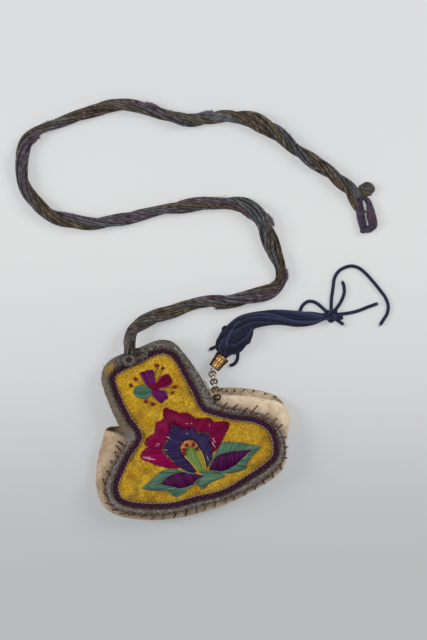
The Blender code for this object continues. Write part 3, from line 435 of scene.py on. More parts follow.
class Paint:
    # One material and short ways to add its nodes. A socket given a value is set, and one given
    # another node's output is linked
    def __init__(self, name, roughness, metallic=0.0, **sockets):
        self.material = bpy.data.materials.new(name)
        self.material.use_nodes = True
        self.tree = self.material.node_tree
        self.shader = self.tree.nodes["Principled BSDF"]
        self.set(self.shader, {"Roughness": roughness, "Metallic": metallic})
        self.set(self.shader, {key.replace("_", " "): value for key, value in sockets.items()})

    def set(self, node, sockets):
        for key, value in sockets.items():
            if isinstance(value, bpy.types.NodeSocket):
                self.tree.links.new(value, node.inputs[key])
            else:
                node.inputs[key].default_value = value

    def add(self, kind, sockets=None, **settings):
        node = self.tree.nodes.new("ShaderNode" + kind)
        for key, value in settings.items():
            setattr(node, key, value)
        self.set(node, sockets or {})
        return node

    def place(self, scale=(1000.0, 1000.0, 1000.0), turn=(0, 0, 0)):
        # Object coordinates in millimetres
        at = self.add("TexCoord").outputs["Object"]
        mapping = {"Vector": at, "Scale": scale, "Rotation": turn}
        return self.add("Mapping", mapping).outputs["Vector"]

    def thread(self, scale=(1.0, 1.0, 1.0)):
        # Round the thread from 0 to 1, and along it in millimetres
        at = self.add("UVMap", uv_map="thread").outputs["UV"]
        return self.add("Mapping", {"Vector": at, "Scale": scale}).outputs["Vector"]

    def split(self, at):
        return self.add("SeparateXYZ", {0: at}).outputs

    def value(self, name):
        return self.add("Attribute", attribute_name=name).outputs["Fac"]

    def noise(self, at, scale, detail=3.0, roughness=0.55):
        return self.add("TexNoise", {"Vector": at, "Scale": scale, "Detail": detail,
                                     "Roughness": roughness}).outputs["Fac"]

    def maths(self, operation, a, b=0.0, clamp=False):
        return self.add("Math", {0: a, 1: b}, operation=operation, use_clamp=clamp).outputs[0]

    def vector(self, operation, a, b=(0.0, 0.0, 0.0), output=0):
        return self.add("VectorMath", {0: a, 1: b}, operation=operation).outputs[output]

    def weigh(self, a, b, share):
        # a * share + b * (1 - share)
        return self.maths("ADD", self.maths("MULTIPLY", a, share),
                          self.maths("MULTIPLY", b, 1 - share))

    def ramp(self, factor, *stops):
        # Each stop is a place and a colour, red, green and blue from 0 to 255 or linear values
        node = self.add("ValToRGB", {"Fac": factor})
        stretch = node.color_ramp.elements
        for number, (place, colour) in enumerate(stops):
            stop = stretch[number] if number < 2 else stretch.new(place)
            stop.position = place
            stop.color = srgb(*colour) if len(colour) == 3 else colour
        return node.outputs["Color"]

    def patches(self, at, scale, low, high, detail=3.0, roughness=0.55, full=1.0):
        # 0 where a noise is under low, and full where it is over high
        noise = self.noise(at, scale, detail, roughness)
        return self.ramp(noise, (low, black), (high, grey(full)))

    def mix(self, factor, a, b, blend="MIX"):
        node = self.add("Mix", data_type="RGBA", blend_type=blend)
        self.set(node, {0: factor, 6: a, 7: b})
        return node.outputs[2]

    def bump(self, height, distance, strength=1.0, normal=None):
        node = self.add("Bump", {"Height": height, "Distance": distance * mm,
                                 "Strength": strength})
        if normal is not None:
            self.set(node, {"Normal": normal})
        return node.outputs["Normal"]

    def finish(self, colour, normal=None, **sockets):
        self.set(self.shader, {"Base Color": colour, **sockets})
        if normal is not None:
            self.set(self.shader, {"Normal": normal})
        return self.material


def leatherPaint():
    # Soft cream leather: mottled and faintly grained, with painted shade darker towards the left,
    # and painted shade and soil along its seams, folds and mouth
    p = Paint("creamLeather", 0.8, Specular_IOR_Level=0.3)
    at = p.place()
    mottle = p.ramp(p.noise(at, 0.11, 5.0, 0.6), (0.3, (194, 169, 139)), (0.48, (226, 205, 174)),
                    (0.7, (243, 225, 198)))
    specks = p.ramp(p.noise(at, 1.1, 2.0, 0.7), (0.34, (170, 146, 118)), (0.46, white))
    colour = p.mix(0.55, mottle, specks, "MULTIPLY")
    # painted shade: the leather is made darker towards the left
    across = p.maths("ADD", p.maths("DIVIDE", p.split(at)[0], 110.0), 0.5, True)
    shade = p.ramp(across, (0.1, (207, 201, 194)), (0.75, white))
    colour = p.mix(1.0, colour, shade, "MULTIPLY")
    # painted shade with some soil: darker in patches by the stitches and round the mouth
    soil = p.maths("MULTIPLY", p.value("soil"), p.noise(at, 0.5, 3.0), True)
    colour = p.mix(soil, colour, srgb(105, 84, 64))
    grain = p.add("TexVoronoi", {"Vector": at, "Scale": 1.5}, feature="DISTANCE_TO_EDGE")
    normal = p.bump(grain.outputs["Distance"], 0.12, 0.5)
    normal = p.bump(p.noise(at, 0.45, 4.0), 0.7, 0.5, normal)
    normal = p.bump(p.noise(at, 0.17, 3.0, 0.6), 2.4, 0.5, normal)
    return p.finish(colour, normal)


def feltPaint():
    # Yellow wool felt: matted fibres, uneven dye, dirty patches and a few dark fibres, with painted
    # shade in the folds and beside the braid, and painted shade a little darker towards the right
    p = Paint("yellowFelt", 0.95, Sheen_Weight=0.1, Specular_IOR_Level=0.2)
    at = p.place()
    dye = p.ramp(p.noise(at, 0.12, 4.0, 0.6), (0.32, (190, 144, 26)), (0.5, (214, 172, 38)),
                 (0.7, (228, 190, 66)))
    fibres = p.ramp(p.noise(at, 0.85, 3.0, 0.8), (0.38, (122, 98, 58)), (0.5, (224, 210, 182)),
                    (0.6, white))
    colour = p.mix(0.7, dye, fibres, "MULTIPLY")
    # painted shade: the felt is made a little darker towards the right
    across = p.maths("DIVIDE", p.split(at)[0], 50.0, True)
    shade = p.ramp(across, (0.2, white), (0.6, (241, 239, 244)))
    colour = p.mix(1.0, colour, shade, "MULTIPLY")
    # painted shade in the folds and beside the braid, and dirt in broad patches
    colour = p.mix(p.maths("MULTIPLY", p.value("soil"), 0.65), colour, srgb(124, 94, 34))
    normal = p.bump(p.noise(at, 1.6, 4.0, 0.75), 0.35, 0.8)
    normal = p.bump(p.noise(at, 0.5, 3.0), 0.5, 0.45, normal)
    return p.finish(colour, normal)


def woolPaint(name, dark, middle, light, grain, patch=None):
    # Rough cloth or pile: three shades by two sizes of noise, with one patch of another colour
    p = Paint(name, 0.95, Sheen_Weight=0.1, Sheen_Roughness=0.5, Specular_IOR_Level=0.25)
    at = p.place()
    broad, small = p.noise(at, 0.35, 4.0, 0.65), p.noise(at, grain, 3.0, 0.7)
    colour = p.ramp(p.weigh(broad, small, 0.55), (0.36, dark), (0.5, middle), (0.66, light))
    if patch:
        place, reach, other = patch
        gap = p.vector("SUBTRACT", at, (*place, 0.0))
        gap = p.vector("LENGTH", p.vector("MULTIPLY", gap, (1.0, 1.0, 0.0)), output="Value")
        near = p.maths("SUBTRACT", 1.0, p.maths("DIVIDE", gap, reach), True)
        share = p.maths("MULTIPLY", near, p.patches(at, 0.6, 0.42, 0.52))
        colour = p.mix(share, colour, srgb(*other))
    return p.finish(colour, p.bump(small, 0.25, 0.7))


def bindingPaint():
    # Frayed grey binding: wool on the neck, silver-grey with slate and brown patches round the base
    p = Paint("greyBinding", 0.95, Specular_IOR_Level=0.2)
    at = p.place()
    small = p.noise(at, 0.85, 5.0, 0.78)
    wool = p.ramp(small, (0.4, (46, 36, 32)), (0.48, (94, 88, 82)), (0.6, (144, 141, 136)))
    olive = p.mix(0.45, wool, srgb(84, 72, 52))
    wool = p.mix(p.patches(at, 0.12, 0.46, 0.6, 2.0), wool, olive)
    left = p.maths("ADD", p.maths("DIVIDE", p.split(at)[0], -12.0), -1.4, True)
    wool = p.mix(p.maths("MULTIPLY", left, 0.55), wool, srgb(122, 103, 82))
    rags = p.ramp(small, (0.36, (60, 48, 44)), (0.46, (108, 100, 95)), (0.62, (150, 142, 136)))
    rags = p.mix(p.patches(at, 1.1, 0.58, 0.66, 3.0, 0.7, 0.7), rags, srgb(196, 190, 184))
    slate = p.mix(0.6, rags, srgb(88, 96, 116))
    rags = p.mix(p.patches(at, 0.22, 0.56, 0.64), rags, slate)
    rust = p.mix(0.6, rags, srgb(104, 72, 52))
    rags = p.mix(p.patches(p.place((700.0, 700.0, 700.0)), 0.4, 0.5, 0.62), rags, rust)
    colour = p.mix(p.value("base"), wool, rags)
    # bare yellow shows at the neck's upper left corner
    gap = p.vector("DISTANCE", at, (-22.4, 61.7, 9.0), "Value")
    near = p.maths("SUBTRACT", 1.6, p.maths("DIVIDE", gap, 3.6), True)
    near = p.maths("MULTIPLY", near, p.patches(at, 0.6, 0.46, 0.56))
    colour = p.mix(near, colour, srgb(168, 132, 44))
    return p.finish(colour, p.bump(small, 0.55, 1.0))


def silkPaint(name, dark, middle, light, roughness=0.42):
    # Satin stitch floss: a shade for each stitch, slow changes along it, fine lines lengthwise
    p = Paint(name, roughness, Specular_IOR_Level=0.1)
    lines = p.noise(p.thread((9.0, 0.35, 1.0)), 1.0, 2.0, 0.6)
    shade = p.weigh(p.value("tint"), lines, 0.6)
    colour = p.ramp(shade, (0.2, dark), (0.5, middle), (0.85, light))
    return p.finish(colour, p.bump(lines, 0.08, 0.8))


def cordPaint(name, stops, pitch=0.8, roughness=0.7, grooveShade=0.7, twist=1.0, dust=None):
    # Plied thread: slanting grooves, sin(2 pi (around * twist + along / pitch)), over a shade
    # for each strand
    p = Paint(name, roughness, Sheen_Weight=0.05, Specular_IOR_Level=0.25)
    around = p.split(p.thread())
    turns = p.maths("ADD", p.maths("MULTIPLY", around[0], twist),
                    p.maths("DIVIDE", around[1], pitch))
    ply = p.maths("SINE", p.maths("MULTIPLY", turns, 2 * math.pi))
    ply = p.maths("ADD", p.maths("MULTIPLY", ply, 0.5), 0.5)
    at = p.place()
    colour = p.ramp(p.weigh(p.value("tint"), p.noise(at, 0.09, 3.0), 0.75), *stops)
    if dust:
        colour = p.mix(p.patches(at, 0.8, 0.52, 0.72, 3.0, 0.7, 0.5), colour, srgb(*dust))
    # painted shade: the colour is darkened in the grooves between the plies
    colour = p.mix(ply, p.mix(1.0, colour, grey(grooveShade), "MULTIPLY"), colour)
    normal = p.bump(ply, 0.14, 0.7)
    return p.finish(colour, p.bump(p.noise(at, 4.0, 2.0), 0.06, 0.5, normal))


def strandPaint(name, stops):
    # Loose wool strands: a shade for each, and long fibres, noise(sin 2 pi (around + along / 9),
    # along)
    p = Paint(name, 0.85, Sheen_Weight=0.05, Specular_IOR_Level=0.25)
    around = p.split(p.thread())
    turns = p.maths("ADD", around[0], p.maths("DIVIDE", around[1], 9.0))
    side = p.maths("MULTIPLY", p.maths("SINE", p.maths("MULTIPLY", turns, 2 * math.pi)), 1.5)
    lay = p.add("CombineXYZ", {0: side, 1: p.maths("MULTIPLY", around[1], 0.22),
                               2: p.maths("MULTIPLY", p.value("tint"), 9.0)})
    fibres = p.noise(lay.outputs[0], 1.0, 4.0, 0.7)
    at = p.place()
    colour = p.ramp(p.weigh(p.value("tint"), p.noise(at, 0.09, 3.0), 0.8), *stops)
    dark = p.ramp(fibres, (0.4, (0.12, 0.11, 0.1, 1.0)), (0.53, white))
    colour = p.mix(0.85, colour, dark, "MULTIPLY")
    pale = p.ramp(fibres, (0.54, black), (0.66, grey(0.55)))
    colour = p.mix(pale, colour, srgb(148, 138, 128))
    normal = p.bump(fibres, 0.25, 0.9)
    return p.finish(colour, p.bump(p.noise(at, 3.0, 2.0), 0.08, 0.5, normal))


def brassPaint(name, dark, bright, roughness):
    # Old brass: darkened in patches, brighter where its tint is high (a painted highlight on the
    # cap's top), with small scratches and pits
    p = Paint(name, roughness, 1.0)
    at = p.place()
    broad = p.weigh(p.noise(at, 0.9, 5.0, 0.65), p.value("tint"), 0.6)
    colour = p.ramp(broad, (0.34, dark), (0.64, bright))
    rough = p.ramp(broad, (0.3, grey(0.62)), (0.7, grey(0.24)))
    return p.finish(colour, p.bump(p.noise(at, 3.5, 3.0), 0.06, 0.5), Roughness=rough)


paints = {
    "leather": leatherPaint(),
    "felt": feltPaint(),
    "lining": woolPaint("liningCloth", (120, 110, 96), (148, 138, 122), (170, 160, 144), 4.0),
    "binding": bindingPaint(),
    "braid": cordPaint("purpleBraid", [(0.2, (40, 4, 32)), (0.5, (60, 12, 46)),
                                       (0.9, (90, 34, 68))], 1.1, 0.8, 0.4),
    "edge": cordPaint("rolledEdge", [(0.1, (52, 34, 30)), (0.45, (84, 52, 42)),
                                     (0.75, (112, 76, 60)), (0.97, (150, 138, 130))],
                      1.3, 0.85, 0.55, dust=(132, 116, 104)),
    "couched": cordPaint("paleCord", [(0.1, (96, 68, 50)), (0.45, (148, 120, 100)),
                                      (0.9, (188, 166, 146))], 0.9, 0.7, 0.6),
    # a darker copy of the pale cord: painted shade for the outer cord between braid and binding
    "couchedDark": cordPaint("paleCordShaded", [(0.1, (62, 48, 42)), (0.5, (96, 84, 76)),
                                          (0.9, (126, 114, 106))], 0.9, 0.7, 0.6),
    # a lighter copy of the magenta silk: painted light on the left outer petals
    "magentaLitLeft": silkPaint("magentaSilkLit", (96, 0, 44), (128, 0, 62), (156, 0, 82)),
    "magenta": silkPaint("magentaSilk", (80, 0, 36), (110, 0, 50), (138, 0, 66)),
    "indigo": silkPaint("indigoSilk", (28, 18, 52), (44, 33, 75), (66, 52, 98)),
    "purple": silkPaint("purpleSilk", (46, 0, 44), (68, 4, 62), (98, 22, 86)),
    "plum": silkPaint("plumSilk", (72, 4, 64), (94, 10, 82), (118, 26, 100)),
    "teal": silkPaint("tealSilk", (52, 84, 72), (76, 110, 92), (108, 140, 114)),
    "tan": silkPaint("tanSilk", (128, 100, 54), (160, 132, 74), (188, 150, 86), 0.5),
    "orange": silkPaint("orangeSilk", (150, 84, 48), (190, 122, 70), (210, 156, 96), 0.5),
    "green": silkPaint("greenSilk", (56, 94, 66), (100, 130, 62), (148, 158, 82), 0.5),
    "olive": silkPaint("oliveSilk", (120, 110, 44), (158, 142, 48), (186, 158, 66), 0.5),
    # pale threads painted as the silk's glints: painted highlights
    "pale": silkPaint("paintedGlintSilk", (190, 176, 186), (216, 206, 212), (236, 230, 232), 0.4),
    "whip": cordPaint("whipThread", [(0.2, (78, 34, 24)), (0.6, (108, 52, 36)),
                                     (0.95, (132, 72, 52))]),
    "black": cordPaint("blackThread", [(0.2, (28, 24, 24)), (0.9, (46, 40, 38))]),
    "dots": cordPaint("redDots", [(0.2, (112, 14, 16)), (0.9, (140, 26, 26))], 0.7, 0.6),
    "stems": silkPaint("budStems", (84, 92, 62), (108, 112, 84), (132, 128, 100), 0.5),
    "navy": cordPaint("navyCord", [(0.1, (22, 24, 42)), (0.5, (38, 43, 74)),
                                   (0.95, (60, 66, 102))], 1.3, 0.7, 0.6, twist=2.0),
    "strands": strandPaint("twistedStrands", [
        (0.06, (54, 42, 32)), (0.26, (100, 84, 62)), (0.44, (86, 76, 64)),
        (0.60, (90, 97, 102)), (0.78, (90, 70, 86)), (0.95, (110, 92, 110))]),
    "knot": strandPaint("knotStrands", [(0.1, (42, 34, 31)), (0.5, (74, 65, 60)),
                                        (0.9, (112, 105, 98))]),
    "chenille": woolPaint("chenillePile", (38, 34, 50), (68, 58, 78), (102, 88, 104), 1.6,
                          ((149.4, 87.0), 7.0, (92, 66, 78))),
    "mauveFuzz": woolPaint("mauveFibres", (70, 52, 68), (98, 76, 94), (124, 100, 118), 1.2),
    "fuzz": woolPaint("looseFibres", (70, 62, 58), (112, 104, 98), (160, 152, 146), 1.2),
    "brass": brassPaint("oldBrass", srgb(58, 48, 38), srgb(196, 178, 146), 0.36),
    # the cap's brass, with a painted highlight along its top and painted shade on its sides
    "gold": brassPaint("topLitBrass", srgb(58, 38, 20), srgb(210, 164, 104), 0.3),
}
print("materials:", len(paints))


# Camera, light and floor

view = {"above": (41.8, 66.0), "height": 1600.0, "turn": -22.5, "tall": 364.8, "sensor": 36.0}
lamps = {
    "left": {"at": (-1150.0, 650.0, 900.0), "size": 700.0, "power": 13.0},
    "right": {"at": (1250.0, 250.0, 1000.0), "size": 700.0, "power": 11.0},
}
sky = {"Color": (0.96, 0.98, 1.0, 1.0), "Strength": 0.40}
ground = {
    "reach": 3.0, "own": 0.5, "shadeLength": 360.0, "shadeShift": 0.28,
    "shades": [(0.1, (186, 190, 191)), (0.22, (193, 196, 197)), (0.4, (213, 214, 215)),
               (0.62, (224, 225, 225)), (0.9, (220, 221, 222))],  # up the photo
}


def makeCamera(v):
    lens = bpy.data.cameras.new("camera")
    lens.sensor_width = v["sensor"]
    # at the table, the view's long side is v["tall"]
    lens.lens = v["sensor"] * v["height"] / v["tall"]
    made = bpy.data.objects.new("camera", lens)
    made.location = (v["above"][0] * mm, v["above"][1] * mm, v["height"] * mm)
    made.rotation_euler = (0, 0, math.radians(v["turn"]))
    scene.collection.objects.link(made)
    scene.camera = made


def makeLight():
    for name, lamp in lamps.items():
        light = bpy.data.lights.new(name, "AREA")
        light.size = lamp["size"] * mm
        light.energy = lamp["power"]
        made = bpy.data.objects.new(name, light)
        made.location = np.array(lamp["at"]) * mm
        x, y, z = -unit(np.array(lamp["at"]))
        made.rotation_euler = (math.acos(-z), 0, math.atan2(y, x) - math.pi / 2)
        scene.collection.objects.link(made)
    world = scene.world or bpy.data.worlds.new("world")
    scene.world = world
    world.use_nodes = True
    for key, value in sky.items():
        world.node_tree.nodes["Background"].inputs[key].default_value = value


def makeFloor(g):
    reach = g["reach"]
    mesh = bpy.data.meshes.new("floor")
    corners = [(-reach, -reach, 0), (reach, -reach, 0), (reach, reach, 0), (-reach, reach, 0)]
    mesh.from_pydata(corners, [], [(0, 1, 2, 3)])
    floor = bpy.data.objects.new("floor", mesh)
    scene.collection.objects.link(floor)
    p = Paint("paleFloor", 0.9)
    # painted shade on the floor: its tone is darker towards the bottom of the view
    upwards = p.split(p.place(turn=(0, 0, math.radians(-view["turn"]))))[1]
    share = p.maths("DIVIDE", upwards, g["shadeLength"])
    tone = p.ramp(p.maths("ADD", share, g["shadeShift"], True), *g["shades"])
    # seen by the camera and in the brass, part of the floor's own colour shows even in shade
    path = p.add("LightPath").outputs
    seen = p.maths("MAXIMUM", path["Is Glossy Ray"], path["Is Transmission Ray"])
    lit = p.maths("MULTIPLY", p.maths("MAXIMUM", path["Is Camera Ray"], seen), g["own"])
    glow = {"Emission Color": tone, "Emission Strength": lit}
    mesh.materials.append(p.finish(p.mix(lit, tone, black), **glow))


makeCamera(view)
makeLight()
makeFloor(ground)
print("camera, light and floor")


# Carrying cord, its knot on the neck and its far end

cordRoute = [
    (-5.9, 75.9), (-1.4, 79.0), (8.0, 80.6), (20.5, 79.5), (32.5, 78.9), (44.6, 75.8), (57.5, 71.9),
    (69.7, 69.6), (79.0, 69.0), (85.6, 71.5), (88.6, 78.5), (88.6, 88.0), (89.6, 97.5),
    (89.6, 107.0), (85.6, 116.0), (77.5, 123.2), (63.5, 128.8), (45.0, 134.0), (27.0, 136.9),
    (11.0, 139.6), (-3.5, 144.6), (-16.5, 152.4), (-24.5, 162.4), (-27.9, 173.4), (-27.2, 184.0),
    (-23.8, 193.4), (-17.2, 200.6), (-6.0, 203.6), (12.0, 203.0), (30.0, 201.6), (43.5, 197.4),
    (53.0, 191.4), (62.0, 182.9), (75.0, 175.4), (91.0, 171.0), (103.0, 164.9), (114.4, 152.4),
    (124.0, 135.2), (134.6, 118.6), (141.2, 106.6), (144.2, 98.3),
]
hitchRoute = [(-11.2, 58.4), (-10.8, 61.5), (-9.4, 65.6), (-8.6, 69.2), (-7.8, 72.4)]
eyeRoute = [
    (147.6, 103.8), (149.4, 104.5), (152.0, 104.8), (154.3, 103.0), (154.8, 100.0), (152.6, 98.5),
    (150.1, 99.2),
]
chenilleRoute = [  # place and half width
    (145.6, 98.0, 1.4), (143.3, 95.0, 2.4), (142.8, 91.4, 2.4), (141.8, 87.8, 2.4),
    (141.1, 84.0, 2.2), (140.9, 81.2, 1.9), (143.4, 80.0, 2.0), (146.5, 81.2, 2.3),
    (147.2, 85.4, 2.7), (148.2, 89.6, 2.2), (148.9, 93.4, 1.6), (148.2, 96.8, 1.4),
]
cord = {
    "diameter": 7.5, "steps": 540, "threads": 7, "plyReach": 1.85,
    "threadReach": 1.4, "thread": 0.66, "plyTurn": 78.0, "threadTurn": 110.0, "flat": 0.82,
    "wander": 0.45, "drop": 30.0, "rootShare": 0.72, "rootReach": 14.0, "lump": 0.24, "stray": 0.8,
    "plyTints": [(0.26, 0.0), (0.8, -0.44), (0.46, 0.14)],  # mean, change towards the end
    "tintSpread": 0.13, "end": 120.0, "endTurn": 50.0, "endSwell": 0.03, "endCloser": 0.2,
    "endPale": 0.38,
    "wide": [  # x, y, how much wider, over which length
        (90.0, 96.0, 0.42, 13.0), (85.0, 116.5, 0.2, 9.0), (76.0, 69.3, 0.22, 12.0),
        (113.5, 153.0, 0.34, 12.0)],
}
fuzz = {"count": 2600, "least": -0.05, "sunk": 0.86, "length": 1.5, "hair": 0.05}
tufts = {
    "at": [(58.3, 194.3), (-13.5, 198.2), (-9.9, 154.7), (83.2, 178.5), (82.5, 112.7),
           (94.0, 106.1), (91.3, 72.7), (49.2, 71.0)],
    "half": 4, "sunk": 0.78, "rise": 0.6, "thick": 0.95, "hairs": 260, "length": 0.9, "hair": 0.08,
}
hitch = {
    "diameter": 5.8, "threads": 13, "reach": 2.2, "thread": 0.66, "turn": 42.0, "flat": 0.9,
    "wander": 0.5, "narrow": 0.6, "narrowTo": 10.0, "over": 1.7, "seat": 1.1,
    "knot": (-11.0, 63.4), "knotSize": (1.7, 1.6, 0.9), "knotThread": 0.78,
    "knots": [(0.2, -0.4, 0.2), (0.7, 0.5, 1.3), (-0.5, 0.1, 2.2)],  # beside the middle, turn
    "rings": [(2.5, 2.7), (3.5, 1.9)], "ringFlat": 0.88,  # reach, rise
    "looseThread": 0.86,
}


def levelFrame(route):
    # Beside a route on the table, and straight up
    along = unit(np.gradient(route, axis=0))
    beside = np.column_stack([-along[:, 1], along[:, 0], np.zeros(len(along))])
    return beside, np.array([0.0, 0.0, 1.0])


hitchPath = openCurve(hitchRoute, 8)
hitchOver = feltTop(*hitchPath.T) + hitch["over"] + hitch["diameter"] / 2
hitchDip = smoothStep(hitchPath[:, 1], hitchPath[-3, 1], hitchPath[-1, 1] * 1.02)
hitchLevel = hitchOver + (cord["diameter"] - hitchOver) * hitchDip


def bundle(centres, threads, reach, radius, turn, flat, wander, seed, shrink):
    # Threads wound loosely round a line: each at reach from it, its angle growing by one turn in
    # each turn length
    run = runOf(centres)
    beside, up = levelFrame(centres[:, :2])
    number = np.arange(threads)[:, None]
    ring = np.where(number == 0, 0.0, 1.0)
    angle = 2 * math.pi * (number / (threads - 1) + run / turn + seed * 0.37)
    at = np.stack(np.broadcast_arrays(run / 14.0, number * 3.7 + seed, 0.5), -1)
    across = shrink * reach * ring * np.cos(angle) + wander * softNoise(at, 1.0)
    above = shrink * reach * ring * np.sin(angle) + wander * softNoise(at, 1.0, 7.3)
    paths = centres + beside * across[..., None] + up * (flat * above)[..., None]
    paths[..., 2] = np.maximum(paths[..., 2], radius * shrink)
    return paths


def makeCarryingCord(c):
    # Three loose plies, each of seven threads, wound slowly round the route
    route = openCurve(cordRoute, c["steps"])
    run = runOf(route)
    radius = c["diameter"] / 2
    level = radius * c["flat"] + (hitchLevel[-1] - radius) * (1 - smoothStep(run, 0, c["drop"]))
    centre = np.column_stack([route, level])
    beside, up = levelFrame(route)
    endFrom = run[-1] - c["end"]
    size = 1 + c["endSwell"] * smoothStep(run, endFrom, run[-1])
    size = size * (c["rootShare"] + (1 - c["rootShare"]) * smoothStep(run, 0, c["rootReach"]))
    size = size * (1 + c["lump"] * noiseAlong(run, 20))
    for x, y, more, spread in c["wide"]:
        place = run[np.linalg.norm(route - [x, y], axis=1).argmin()]
        size = size * (1 + more * np.exp(-((run - place) / spread) ** 2))
    tighter = np.maximum(run - endFrom, 0) * (1 / c["endTurn"] - 1 / c["plyTurn"])
    toEnd = smoothStep(run, endFrom - 20, endFrom + 30)
    made = []
    for ply, (mean, change) in enumerate(c["plyTints"]):
        angle = 2 * math.pi * (ply / len(c["plyTints"]) + run / c["plyTurn"] + tighter)
        angle = angle + c["stray"] * noiseAlong(run, 40, ply * 5)
        reach = size * c["plyReach"] * (1 - c["endCloser"] * toEnd)
        middle = (centre + beside * (reach * np.cos(angle))[:, None]
                  + up * (reach * c["flat"] * np.sin(angle))[:, None])
        paths = bundle(middle, c["threads"], c["threadReach"], c["thread"], c["threadTurn"],
                       c["flat"], c["wander"], ply * 11.0, size)
        tint = np.clip(mean + draw.normal(0, c["tintSpread"], c["threads"]), 0.0, 1.0)
        shape = tubes(paths, c["thread"] * size, tint=tint)
        drift = (0.2 - 0.1 * toEnd) * noiseAlong(run, 22, ply * 9) + change * toEnd
        tint = shape["tint"].reshape(c["threads"], len(run), -1) + drift[:, None]
        shape["tint"] = np.clip(tint, 0.0, (1.0 - c["endPale"] * toEnd)[:, None]).ravel()
        made.append(shape)
    piece = dress("carrying_cord", joined(*made), "strands", "twisted_cord")
    return piece, centre, radius * size


def makeCordFuzz(f, t, centre, radius):
    # Fuzz that stands out on top in patches, and short stubs of pile along the cord's sides
    run = runOf(centre[:, :2])
    beside, up = levelFrame(centre[:, :2])
    pick = draw.integers(0, len(run), f["count"])
    pick = pick[noiseAlong(run[pick], 16, layer=3.0) > f["least"]]
    side = draw.uniform(0, math.pi, len(pick))
    out = beside[pick] * np.cos(side)[:, None] + up * np.sin(side)[:, None]
    skin = out * [1.0, 1.0, cord["flat"]] * (f["sunk"] * radius[pick])[:, None]
    made = [hairs(centre[pick] + skin, out, f["length"], f["hair"], 1.0)]
    steps = 2 * t["half"] + 1
    thick = t["thick"] * np.sin(np.linspace(0.3, 2.8, steps))
    for place in t["at"]:
        nearest = np.linalg.norm(centre[:, :2] - place, axis=1).argmin()
        nearest = np.clip(nearest, t["half"], len(run) - 1 - t["half"])
        out = unit(np.array([*(place - centre[nearest, :2]), 0.0]))
        stub = centre[nearest - t["half"]:nearest + t["half"] + 1]
        stub = stub + out * (t["sunk"] * radius[nearest]) + up * t["rise"]
        pick = draw.integers(0, steps, t["hairs"])
        away = unit(out + draw.normal(0, 0.6, (t["hairs"], 3)))
        made.append(tubes(stub[None], thick, sides=8))
        roots = stub[pick] + away * thick[pick, None] * 0.8
        made.append(hairs(roots, away, t["length"], t["hair"], 0.7))
    return addPiece("cordFuzz", joined(*made), "mauveFuzz", "twisted_cord")


def trefoil(count, size, centre, turn):
    # A knotted loop: x = sin t + 2 sin 2t, y = cos t - 2 cos 2t, z = -sin 3t
    t = circle(count)
    loop = np.column_stack([np.sin(t) + 2 * np.sin(2 * t), np.cos(t) - 2 * np.cos(2 * t),
                            -np.sin(3 * t)])
    loop = loop * np.array(size) / np.array([3.0, 3.0, 1.0])
    c, s = math.cos(turn), math.sin(turn)
    return loop @ np.array([[c, s, 0], [-s, c, 0], [0, 0, 1]]) + np.array(centre)


def makeHitch(h):
    # The strands that come over the neck's edge, and the knot they end in
    path = np.column_stack([hitchPath, hitchLevel])[4:]
    path = openCurve(np.vstack([path, cordCentre[[4, 12, 24]]]), 80)
    narrow = h["narrow"] + (1 - h["narrow"]) * smoothStep(runOf(path), 0, h["narrowTo"])
    strands = bundle(path, h["threads"], h["reach"], h["thread"], h["turn"], h["flat"],
                     h["wander"], 3.0, narrow)
    knotX, knotY = h["knot"]
    top = float(feltTop(knotX, knotY)) + h["seat"]
    knots = [trefoil(72, h["knotSize"], (knotX + dx, knotY + dy, top + 0.9 + 0.3 * number), turn)
             for number, (dx, dy, turn) in enumerate(h["knots"])]
    t = circle(72)
    for reach, rise in h["rings"]:
        x, y = knotX + reach * np.cos(t), knotY + h["ringFlat"] * reach * np.sin(t)
        knots.append(np.column_stack([x, y, top + rise + 0.4 * np.cos(2 * t)]))
    loose = [  # two strands down the cord's side, and six to the right over the braid
        [(-10.4, 64.5, top + 2.0), (-11.4, 67.0, top + 1.0), (-10.6, 70.0, 9.5),
         (-8.8, 72.2, 8.0), (-6.4, 74.8, 7.2)],
        [(-9.0, 62.0, top + 2.6), (-6.8, 65.8, top + 1.6), (-5.6, 69.2, 10.2),
         (-3.6, 73.4, 8.4), (-0.6, 77.6, 6.6)],
        [(-9.6, 64.4, top + 2.0), (-7.2, 66.0, top + 1.5), (-3.6, 65.6, top + 1.2),
         (0.4, 63.9, top + 0.6)],
        [(-9.4, 63.2, top + 2.2), (-6.8, 64.8, top + 2.0), (-3.4, 64.6, top + 1.6),
         (0.8, 63.0, top + 0.8)],
        [(-9.2, 62.4, top + 1.8), (-6.6, 63.6, top + 1.4), (-3.4, 63.4, top + 1.2),
         (0.2, 62.4, top + 0.6)],
        [(-8.8, 61.2, top + 1.6), (-6.2, 62.4, top + 1.2), (-3.6, 62.2, top + 1.0),
         (-0.6, 61.4, top + 0.5)],
        [(-9.4, 59.8, top + 1.2), (-6.6, 60.2, top + 1.0), (-3.6, 60.9, top + 0.9),
         (-0.6, 62.2, top + 0.4)],
        [(-8.4, 66.4, top + 1.8), (-6.0, 67.2, top + 1.3), (-3.0, 66.8, top + 0.9),
         (0.0, 65.4, top + 0.4)],
    ]
    shape = joined(tubes(strands, h["thread"], tint=np.linspace(0.1, 0.9, h["threads"])),
                   tubes(knots, h["knotThread"], sides=8, closed=True,
                         tint=[0.2, 0.3, 0.25, 0.95, 0.8]),
                   tubes(openCurves(loose, 40), h["looseThread"], sides=8,
                         tint=[0.6, 0.4, 0.7, 0.3, 0.55, 0.75, 0.4, 0.5]))
    return dress("cord_hitch", shape, "knot", "twisted_cord")


